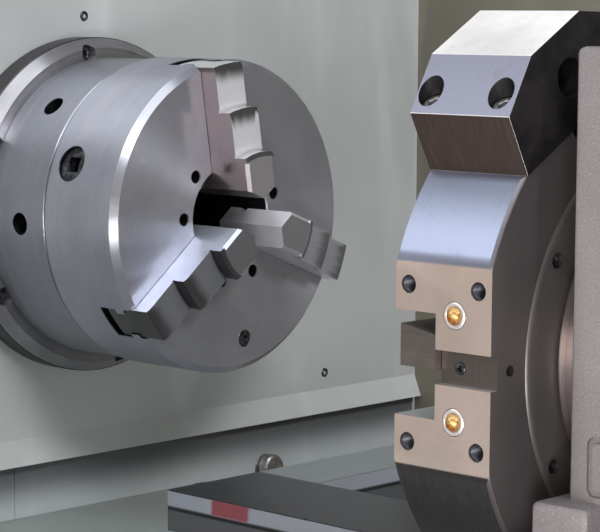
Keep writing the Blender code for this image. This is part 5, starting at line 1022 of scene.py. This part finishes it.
def servo_motor(name, half, length, node, body, place):
    """A servo motor: a square flange, a ribbed body, a rear cap and two plugs on its top."""
    core = half * 0.94
    cap = [(0.7, half * 0.86), (0.95, half * 0.86), (1, half * 0.7)]
    parts = [
        pushed(rounded((-core, -core), (core, core), half * 0.2), 0.012, length * 0.72),
        spun([(length * share, radius) for share, radius in cap]),
    ]
    for step in range(9):
        rib = 0.02 + length * 0.066 * step
        parts.append(pushed(rounded((-half, -half), (half, half), half * 0.24), rib, rib + 0.0035))
    for along in (0.45, 0.8):
        plug = spun([(0, 0.01), (0.0085, 0.01), (0.01, 0.0085)], 32)
        turn = Matrix.Rotation(-math.pi / 2, 4, "X")
        parts.append(put(plug, Matrix.Translation((0, half * 0.92, length * along)) @ turn))
    flange = pushed(rounded((-half, -half), (half, half), half * 0.15), 0, 0.012)
    motor = solid(name, flange, servo_paint, body, place, 0.0006, adds=parts)
    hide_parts(node)
    corners = (-half * 0.8, half * 0.8)
    seats = [place @ Matrix.Translation((x, y, 0.0155)) for x in corners for y in corners]
    bolts(f"{name}_bolt", half * 0.09, seats, bright_screws, body)


servo_motor("long_servo", 0.055, 0.15, "z_servo_motor", "frame", on_line(1.5603, *LONG_SCREW))
cross_motor_place = on_rear(CROSS_SCREW_X, 0.2303, CROSS_SCREW_Z)
servo_motor("cross_servo", 0.045, 0.12, "x_servo_motor", "saddle", cross_motor_place)


def ribbed_motor(name, radius, length, ribs, node, body, place, adds=(), cuts=()):
    """A motor with cooling ribs along its body and a cap at each end."""
    rings = [
        (0, radius * 0.55), (0.004, radius * 0.86), (length - 0.03, radius * 0.86),
        (length - 0.03, radius * 0.93), (length - 0.006, radius * 0.93), (length, radius * 0.8),
    ]
    fins = []
    for number in range(ribs):
        fin = slab((radius * 0.8, -0.0013, 0.016), (radius, 0.0013, length - 0.034))
        fins.append(put(fin, Matrix.Rotation(math.tau * (number + 0.5) / ribs, 4, "Z")))
    collar = spun([(0, radius * 0.95), (0.012, radius * 0.95), (0.014, radius * 0.9)])
    adds = [collar, *fins, *adds]
    motor = solid(name, spun(rings), dark_paint, body, place, 0.0006, adds, cuts)
    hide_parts(node)


ribbed_motor("turret_drive", 0.06, 0.13, 28, "turret_motor", "cross_slide", on_line(0.9308, TURRET_Y))


# Bed. One iron casting, painted below its two ways, which are ground and oiled dark. A painted highlight
# strip runs along the front flank above a painted shadow line, with a red patch near the gap. Bolts hold the
# foot down in the tray.
WAY_HEIGHT = 0.865


def bed_iron():
    """Painted iron with dark scraped ways, a painted highlight strip over a painted shadow line, and a red
    patch.
    """
    iron = Finish("bed iron", 0.6)
    along, across, height = iron.apart()
    blots = iron.noise(5, 4, 0.6)
    grain = iron.noise(700, 3, 0.6)
    scraping = iron.noise(120, 3, 0.6, (0.35, 1, 1))
    top = height.step(WAY_HEIGHT - 0.0008, WAY_HEIGHT - 0.0003)
    rail = height.step(WAY_HEIGHT - 0.031, WAY_HEIGHT - 0.03)
    strip = height.step(WAY_HEIGHT - 0.0125, WAY_HEIGHT - 0.0105)
    # A red patch on the front flank and red streaks on the way near the gap.
    red_patch_edge = along + (scraping - 0.5) * 0.01
    red_patch = red_patch_edge.step(0.131, 0.134) * red_patch_edge.step(0.172, 0.168) * strip * (1.0 - top)
    red_patch = red_patch * across.step(-0.14, -0.145)
    streaks = scraping.step(0.5, 0.7) * along.step(0.14, 0.2) * across.step(-0.115, -0.14)
    colour = iron.mix(blots.step(0.35, 0.7), (158, 164, 160), (144, 150, 147))
    colour = iron.mix(rail, colour, (118, 118, 121))
    # A thin dark line under the bright strip, a painted shadow.
    colour = iron.mix(height.step(0.85, 0.851) * rail, colour, (62, 62, 64))
    # The bright strip along the way's front flank is a painted highlight.
    colour = iron.mix(strip, colour, (196, 198, 208))
    ways = iron.mix(scraping.step(0.35, 0.7), (50, 50, 54), (66, 68, 72))
    ways = iron.mix(streaks * 0.35, ways, (110, 64, 68))
    unworn = across.step(-0.0555, -0.0545) * along.step(0.42, 0.26)
    ways = iron.mix(unworn, ways, (150, 156, 158))
    colour = iron.mix(top, colour, ways)
    colour = iron.mix(red_patch, colour, (138, 72, 78))
    colour = iron.mix(grain.step(0.6, 0.8) * 0.12, colour, (70, 68, 64))
    rough = scraping.span(0.5, 0.62) - top * 0.26
    return iron.done(colour, rough, iron.bump(grain, 0.00008, 0.4), Metallic=rail * 0.75 - red_patch * 0.7)


dress(bed_iron(), "lathe_bed", edge=0.0012)
foot_places = [on_top(-0.56 + 0.34 * number, y, 0.5802) for number in range(7) for y in (-0.143, 0.143)]
bolts("foot_bolt", 0.0058, foot_places, bright_screws, depth=0.0004)
wall_places = [on_line(WALL_FACE, 0.0045, 1.208), on_line(WALL_FACE, 0.3055, 0.8712)]
bolts("wall_screw", 0.0042, wall_places, black_screws)
fixings = [on_line(WALL_FACE, y, z) for y in (-0.53, -0.31) for z in (0.9, 1.39)]
bolts("wall_fixing", 0.0042, fixings, black_screws)
knob = spun([
    (0, 0.011), (0.0015, 0.012), (0.002, 0.0085), (0.006, 0.0085), (0.0065, 0.0125), (0.013, 0.0125),
    (0.015, 0.011), (0.0155, 0),
], 48)
solid("panel_knob", knob, bright_screws, "frame", on_line(-0.1844, 0.226, 0.791), 0.0003)
bolts("recess_screw", 0.004, [on_line(-0.1834, y, 0.7) for y in (-0.52, -0.09, -0.055, 0.4)], black_screws)


# Drive. Behind the end cover: the spindle in its headstock casting, two flanged pulleys with a flat belt and
# a ribbed motor. Louvres let the warm air out.
BELT_MOTOR = (0.29, 0.735)
COVER_FACE = -0.82
spindle_shaft = solid(
    "spindle_shaft",
    spun([
        (-0.76, 0.026), (-0.76, 0.036), (-0.759, 0.037), (-0.6203, 0.037), (-0.6203, 0.045),
        (-0.1896, 0.045), (-0.1896, 0.077), (-0.1886, 0.078), (WALL_FACE, 0.078), (WALL_FACE, 0.026),
    ], 128, True),
    screw_metal, "spindle", spindle_line, 0.0003,
)
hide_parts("spindle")
dress(bright_screws, "rear_spindle_bearing", "front_spindle_bearing", edge=0.0005)
dress(slide_iron, "headstock", edge=0.002)
dress(rubber_skin, "drive_belt", edge=0.0006)
pulley_iron = turned_steel("turned pulley iron", (150, 148, 146), (118, 116, 114), (136, 130, 124))


def pulley(name, radius, bore, holes, node, body, place, tail=()):
    """A flanged flat pulley, turned from iron, with a ring of lightening holes."""
    rings = [
        (0, bore), (0, radius * 0.42), (0.012, radius * 0.46), (0.012, radius * 0.86), (0, radius * 0.9),
        (0, radius + 0.0055), (0.0045, radius + 0.006), (0.005, radius), (0.025, radius + 0.0001),
        (0.045, radius), (0.0455, radius + 0.006), (0.05, radius + 0.0055), (0.05, radius * 0.5), *tail,
    ]
    drilled = []
    for number in range(holes):
        hole = rod(-0.002, 0.06, radius * 0.13, 32)
        drilled.append(put(hole, facing(math.tau * number / holes, 0, radius * 0.66)))
    made = solid(name, spun(rings, 128, bore > 0), pulley_iron, body, place, 0.0004, cuts=drilled)
    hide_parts(node)


pulley(
    "spindle_pulley_wheel", 0.085, 0.0373, 6, "spindle_pulley", "spindle", on_line(-0.71), [(0.05, 0.0373)],
)
pulley(
    "motor_pulley_wheel", 0.055, 0, 5, "motor_pulley", "motor_pulley", on_line(-0.71, *BELT_MOTOR),
    [(0.05, 0.014), (0.1395, 0.014)],
)
foot = slab((-0.09, -0.185, 0.014), (0.09, -0.03, 0.296))
terminals = soft_slab((-0.05, 0.085, 0.1), (0.03, 0.1045, 0.2), 0.004)
ribbed_motor(
    "drive_motor", 0.105, 0.31, 36, "spindle_motor", "frame", on_line(-0.62, *BELT_MOTOR),
    [foot, terminals], [rod(-0.002, 0.052, 0.0148)],
)


def joined(shapes):
    """Several loose shapes in one mesh."""
    whole = bmesh.new()
    for shape in shapes:
        part = bpy.data.meshes.new("part")
        shape.to_mesh(part)
        shape.free()
        whole.from_mesh(part)
        bpy.data.meshes.remove(part)
    return whole


def louvres(name, width, count, place, pitch=0.026, finish=pale_paint):
    """A column of pressed louvres, each a bulge with an open lower edge."""
    hood = [(0, 0), (0.0045, 0), (0.0052, 0.0008), (0.003, 0.0066), (0, 0.012)]
    hoods = []
    for number in range(count):
        shape = pushed([(-depth, rise) for depth, rise in hood], -width / 2, width / 2)
        put(shape, Matrix.Translation((0, pitch * number, 0.0002)) @ Matrix.Rotation(math.pi / 2, 4, "Y"))
        hoods.append(shape)
    solid(name, joined(hoods), finish, "frame", place, 0.0003)


def on_left(x, y, z):
    """A place on a face that points away from the tailstock."""
    return on_line(x, y, z) @ Matrix.Rotation(math.pi, 4, "Y")


louvres("end_louvres_1", 0.24, 9, on_left(COVER_FACE - 0.0003, 0.26, 0.62))
louvres("end_louvres_2", 0.24, 9, on_left(COVER_FACE - 0.0003, 0.26, 1.1))
corners = [on_left(COVER_FACE - 0.002, y, z) for y in (-0.53, -0.06, 0.41) for z in (0.6, 1.385)]
bolts("end_screw", 0.0055, corners, black_screws, depth=0.0018)
louvres("cover_louvres", 0.2, 8, on_rear(-0.5, 0.4403, 1.1))


# Tailstock. A painted casting bored for a ground quill, on an iron base that clamps to the ways. The quill
# carries a live centre with its own bearings, and a polished handwheel drives its screw.
TAIL_BASE_TOP = 0.9103
barrel_bore = [(1.3, 0.0354), (1.59, 0.0354), (1.59, 0.0116), (1.62, 0.0116)]
web = pushed([(-0.12, -0.1394), (0.12, -0.1394), (0.056, 0.015), (-0.056, 0.015)], 1.37, 1.56)
bmesh.ops.bevel(web, geom=web.edges, offset=0.006, segments=3, profile=0.5, affect="EDGES")
barrel = spun([(1.34, 0.056), (1.342, 0.058), (1.606, 0.058), (1.608, 0.056)], 96)
tail_body = solid(
    "tailstock_casting", barrel, pale_paint, "tailstock", spindle_line, 0.0008,
    adds=[web, spun([(1.3345, 0.047), (1.34, 0.047), (1.345, 0.047)])],
    cuts=[spun(barrel_bore)],
)
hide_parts("tailstock_body")
graduations = []
for number in range(13):
    line = 1.302 + number * 0.01
    graduations += [(line, 0.035), (line + 0.0003, 0.0346), (line + 0.0006, 0.035)]
rings = [(1.29, 0.0122), (1.29, 0.0335), (1.2915, 0.035), *graduations, (1.56, 0.035), (1.56, 0.0122)]
quill_shell = solid(
    "quill_shell", spun(rings, 96, True),
    screw_metal, "quill", spindle_line, 0.0002,
)
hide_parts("quill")
centre = solid(
    "live_centre_nose",
    spun([
        (1.2081, 0), (1.24, 0.0178), (1.241, 0.0178), (1.2497, 0.0232), (1.2502, 0.024), (1.26, 0.024),
        (1.2604, 0.0232), (1.2612, 0.0232), (1.2616, 0.024), (1.2887, 0.024), (1.2897, 0.023),
        (1.2897, 0.0115), (1.34, 0.0115),
    ], 96),
    bright_screws, "live_centre", spindle_line, 0.0002,
)
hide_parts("live_centre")
tail_screw = solid(
    "tail_screw_threads", screw_rod(1.42, 1.64, 0.0109, 0.005, 0.0014, 16), screw_metal, "quill_handwheel",
    spindle_line, 0,
)
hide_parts("quill_screw")
rim = []
for step in range(24):
    angle = math.tau * step / 24
    rim.append((1.64 + 0.01 * math.cos(angle), 0.1 + 0.01 * math.sin(angle)))
spokes = []
for number in range(3):
    spoke = spun([(0.016, 0.0072), (0.096, 0.0052)], 32)
    spokes.append(put(spoke, around(math.pi / 2 + math.tau * number / 3, 1.64)))
hub = [
    (1.6083, 0.0113), (1.6083, 0.0205), (1.6098, 0.022), (1.624, 0.022), (1.6243, 0.0215), (1.643, 0.02),
    (1.6443, 0.019), (1.6443, 0.0113),
]
wheel = solid(
    "handwheel", spun(rim, 96, True), bright_screws, "quill_handwheel", spindle_line, 0,
    adds=[*spokes, spun(hub, 96, True)],
)
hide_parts("tailstock_handwheel")
marks = []
for number in range(40):
    deep = 0.004 if number % 5 else 0.007
    mark = slab((-0.0003, 0.0219, 0), (0.0003, 0.0223, deep))
    marks.append(put(mark, facing(math.tau * number / 40, 1.61, 0)))
solid("handwheel_scale", joined(marks), black_screws, "quill_handwheel", spindle_line, 0)
black_plastic = Finish("black plastic")
plastic_grain = black_plastic.noise(340, 3, 0.6)
plastic_skin = black_plastic.done(
    black_plastic.mix(plastic_grain, (24, 24, 26), (38, 38, 40)), plastic_grain.span(0.32, 0.5),
    black_plastic.bump(plastic_grain, 0.0001, 0.4),
)
grip = [
    (0.004, 0.006), (0.012, 0.0062), (0.014, 0.0082), (0.035, 0.0098), (0.054, 0.0088), (0.06, 0.006),
]
solid(
    "handwheel_grip", spun(grip, 48), plastic_skin, "quill_handwheel",
    on_line(1.64, 0, SPINDLE_HEIGHT + 0.1), 0,
)
lever_arm = spun([(0, 0.006), (0.088, 0.0048)], 32)
put(lever_arm, Matrix.Translation((0, 0, 0.0723)) @ Matrix.Rotation(math.pi / 2, 4, "X"))
lever = solid(
    "clamp_lever", spun([(0.0585, 0.014), (0.0833, 0.014), (0.0843, 0.013)], 48),
    bright_screws, "quill_clamp_lever", on_top(1.4, 0, SPINDLE_HEIGHT), 0.0003, [lever_arm],
)
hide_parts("quill_clamp_lever")
ball = [(0.0115, 0)]
for turn in [math.pi * step / 16 for step in range(1, 16)]:
    ball.append((0.0115 * math.cos(turn), 0.0115 * math.sin(turn)))
ball.append((-0.0115, 0))
solid(
    "lever_knob", spun(ball, 48), plastic_skin, "quill_clamp_lever",
    on_top(1.4, -0.0935, SPINDLE_HEIGHT + 0.0723), 0,
)
base_places = [on_top(x, side * 0.135, TAIL_BASE_TOP - 0.0004) for x in (1.365, 1.575) for side in (-1, 1)]
bolts("tail_bolt", 0.008, base_places, black_screws, "tailstock", depth=0.0018)


# Door. A framed sheet-steel door with a clear polycarbonate pane in a rubber seal and a black pull handle.
# It rolls on a rail along the tray.
DOOR_FRONT = -0.588
PANE_LOW = (-0.59, 0.9267)
PANE_HIGH = (0.21, 1.3)

pane = Finish("clear pane", 0.0, Transmission_Weight=0.92, IOR=1.5)
haze_and_shade = pane.noise(6, 4, 0.6)
pane.done(
    pane.mix(haze_and_shade, (226, 236, 232), (208, 222, 218)), haze_and_shade.span(0.0, 0.03),
    pane.bump(haze_and_shade, 0.0001, 0.05),
)
dress(pane.material, "door_window", edge=0.0005)
seal_outer, seal_inner = (grown(PANE_LOW, PANE_HIGH, margin, 0.03) for margin in (0.009, -0.004))
seal = band(seal_outer, seal_inner, 0.0002, 0.0035)
solid("pane_seal", seal, rubber_skin, "door", on_front(0, DOOR_FRONT, 0), 0.001)
edge_places = []
for x in [PANE_LOW[0] + 0.04 + 0.144 * number for number in range(6)]:
    edge_places += [(x, PANE_LOW[1] - 0.02), (x, PANE_HIGH[1] + 0.02)]
for z in (1.0, 1.11, 1.22):
    edge_places += [(PANE_LOW[0] - 0.02, z), (PANE_HIGH[0] + 0.02, z)]
pane_places = [on_front(x, DOOR_FRONT - 0.0014, z) for x, z in edge_places]
bolts("pane_screw", 0.0042, pane_places, bright_screws, "door", 0.0012)
grip = spun([(0.893, 0.008), (0.896, 0.011), (1.15, 0.011), (1.153, 0.008)], 64)
posts = []
for height in (0.915, 1.131):
    post = spun([(0, 0.0085), (0.044, 0.0085), (0.045, 0.0115), (0.0496, 0.0115)], 48)
    posts.append(put(post, Matrix.Translation((0, 0, height)) @ Matrix.Rotation(-math.pi / 2, 4, "X")))
handle = solid(
    "pull_handle", grip, plastic_skin, "door", on_top(0.31, -0.638, 0), 0.0005,
    adds=posts,
)
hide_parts("door_handle")


# Console. A folded box on the right guard, with a sunk screen, soft keys, two override dials, push buttons
# and a red mushroom stop on a yellow ring.
CONSOLE_FRONT = -0.6803
console_place = on_front(0, CONSOLE_FRONT, 0)
dress(dark_paint, "operator_console", edge=0.001)

screen = Finish("console screen", 0.0, Emission_Strength=0.7, Coat_Weight=0.6)
x, y, _ = screen.apart()
rows = (y * 260).sum("FRACT")
line = rows.step(0.35, 0.42) * rows.step(0.72, 0.66)
words = screen.noise(900, 1, 0.5, (1, 1, 0.02)).step(0.44, 0.48)
list_area = x.step(1.384, 1.385) * x.step(1.506, 1.505) * y.step(1.156, 1.157) * y.step(1.304, 1.303)
dial = ((x - 1.565) ** 2 + (y - 1.232) ** 2) ** 0.5
ring = dial.step(0.044, 0.0445) * dial.step(0.047, 0.0465)
ring = ring + dial.step(0.017, 0.0175) * dial.step(0.0195, 0.019)
header = y.step(1.3125, 1.313)
glow = screen.mix(y.step(1.14, 1.33), (12, 26, 44), (22, 42, 66))
glow = screen.mix(header, glow, (64, 104, 142))
glow = screen.mix(list_area * line * words, glow, (176, 214, 206))
glow = screen.mix(ring, glow, (232, 196, 110))
screen.done((14, 16, 20), 0.18, None, Emission_Color=glow)


def on_console(name, shape, finish, edge=0, x=0, y=0, turn=0):
    """A piece on the console's front. Its x and y are the machine's X and Z."""
    place = console_place @ on_top(x, y, 0) @ Matrix.Rotation(math.radians(turn), 4, "Z")
    return solid(name, shape, finish, "frame", place, edge)


glass = pushed(rounded((1.3705, 1.1405), (1.6295, 1.3295), 0.003), -0.0036, -0.0012)
on_console("screen_glass", glass, screen.material, edge=0.0003)
bezel_inner = rounded((1.3712, 1.1412), (1.6288, 1.3288), 0.003)
bezel = band(rounded((1.362, 1.132), (1.638, 1.338), 0.008), bezel_inner, 0.0002, 0.0022)
on_console("screen_bezel", bezel, plastic_skin, edge=0.0006)


def coloured_plastic(name, main, worn):
    """Moulded plastic with a faint grain and wear."""
    plastic = Finish(name, 0.0, Coat_Weight=0.2)
    wear = plastic.noise(120, 4, 0.6)
    colour = plastic.mix(wear.step(0.45, 0.75), main, worn)
    return plastic.done(colour, wear.span(0.3, 0.48), plastic.bump(wear, 0.0001, 0.3))


key_plastic = coloured_plastic("grey key plastic", (150, 152, 150), (134, 136, 134))
keys = []
for column in range(4):
    for row in range(7):
        left = 1.648 + 0.0245 * column
        low = 1.144 + 0.0265 * row
        keys.append(soft_slab((left, low, 0.0002), (left + 0.0195, low + 0.0205, 0.0032), 0.0012, 2))
for column in range(8):
    left = 1.372 + 0.0325 * column
    keys.append(soft_slab((left, 1.102, 0.0002), (left + 0.027, 1.12, 0.0032), 0.0012, 2))
on_console("console_keys", joined(keys), key_plastic)
white_marks = coloured_plastic("white marking", (226, 226, 220), (206, 206, 200))
BUTTON_ROW = 1.02
knob = [(0.0002, 0.019), (0.002, 0.019), (0.003, 0.014), (0.015, 0.0125), (0.0162, 0.011)]
for number, x in enumerate((1.4, 1.48)):
    dial = spun(knob, 48)
    on_console(f"override_dial_{number + 1}", dial, plastic_skin, 0.0003, x, BUTTON_ROW)
    ticks = [slab((-0.0008, 0.0035, 0.016), (0.0008, 0.0105, 0.0166))]
    for step in range(11):
        tick = slab((-0.0005, 0.022, 0.0002), (0.0005, 0.0255, 0.0006))
        ticks.append(put(tick, facing(math.radians(-135 + 27 * step), 0, 0)))
    turn = 35 - 80 * number
    on_console(f"dial_marks_{number + 1}", joined(ticks), white_marks, x=x, y=BUTTON_ROW, turn=turn)
cap = [(0.0002, 0.0105), (0.0065, 0.0105), (0.0078, 0.0092), (0.0082, 0)]
collar = [(0.0002, 0.0108), (0.0002, 0.0145), (0.003, 0.014), (0.0038, 0.0128), (0.0038, 0.0108)]
for name, x, main, worn in (
    ("start_button", 1.55, (30, 140, 70), (50, 156, 88)),
    ("hold_button", 1.595, (214, 168, 36), (226, 186, 70)),
    ("reset_button", 1.64, (188, 190, 190), (206, 208, 208)),
):
    plastic = coloured_plastic(name, main, worn)
    on_console(name, spun(cap, 48), plastic, 0.0003, x, BUTTON_ROW)
    ring = spun(collar, 48, True)
    on_console(f"{name}_collar", ring, bright_screws, 0.0002, x, BUTTON_ROW)
yellow = coloured_plastic("safety yellow", (226, 186, 20), (206, 168, 30))
stop_ring = [(0.0002, 0.0125), (0.0002, 0.0285), (0.001, 0.029), (0.0016, 0.028), (0.0016, 0.0125)]
on_console("stop_ring", spun(stop_ring, 64, True), yellow, x=1.7, y=BUTTON_ROW)
red = coloured_plastic("signal red", (176, 22, 20), (192, 44, 38))
mushroom = [
    (-0.02, 0.0105), (0.008, 0.0105), (0.0084, 0.0185), (0.01, 0.02), (0.015, 0.02), (0.0185, 0.018),
    (0.021, 0.013), (0.0219, 0.006), (0.022, 0),
]
stop_place = on_front(1.7, CONSOLE_FRONT, BUTTON_ROW)
stop = solid("stop_mushroom", spun(mushroom, 64), red, "emergency_stop", stop_place, 0)
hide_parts("emergency_stop")
corners = [on_front(x, CONSOLE_FRONT - 0.0014, z) for x in (1.356, 1.744) for z in (0.976, 1.344)]
bolts("console_screw", 0.0042, corners, bright_screws, depth=0.0012)


# Base. Two painted cabinets carry the tray and the bed. Each has two columns of louvres and a turn latch.
# Cap screws hold the top beam and the right guard.
dress(dark_paint, "left_pedestal", "right_pedestal", edge=0.002)
for number, (left, right) in enumerate(((-0.74, 0.1), (1.2, 1.76))):
    middle = (left + right) / 2
    for side in (-1, 1):
        place = on_front(middle + side * 0.15, -0.2704, 0.2)
        louvres(f"base_louvres_{number + 1}_{side + 2}", 0.16, 7, place, 0.024, dark_paint)
    latch = spun([(0, 0.014), (0.0025, 0.014), (0.0035, 0.0125), (0.0035, 0.006), (0.001, 0.0055)], 48)
    place = on_front(right - 0.085, -0.2702, 0.32)
    bar = slab((-0.0022, -0.0055, 0.0005), (0.0022, 0.0055, 0.0062))
    solid(f"base_latch_{number + 1}", latch, bright_screws, "frame", place, 0.0003, [bar])
beam_places = [on_front(-0.72 + 0.325 * number, GUARD_FACE - 0.0018, 1.443) for number in range(9)]
bolts("beam_screw", 0.0055, beam_places, black_screws, depth=0.0016)
guard_places = [on_front(x, GUARD_FACE - 0.0014, z) for x in (0.975, 1.24, 1.86) for z in (0.66, 1.02, 1.39)]
bolts("guard_screw", 0.0048, guard_places, black_screws, depth=0.0012)
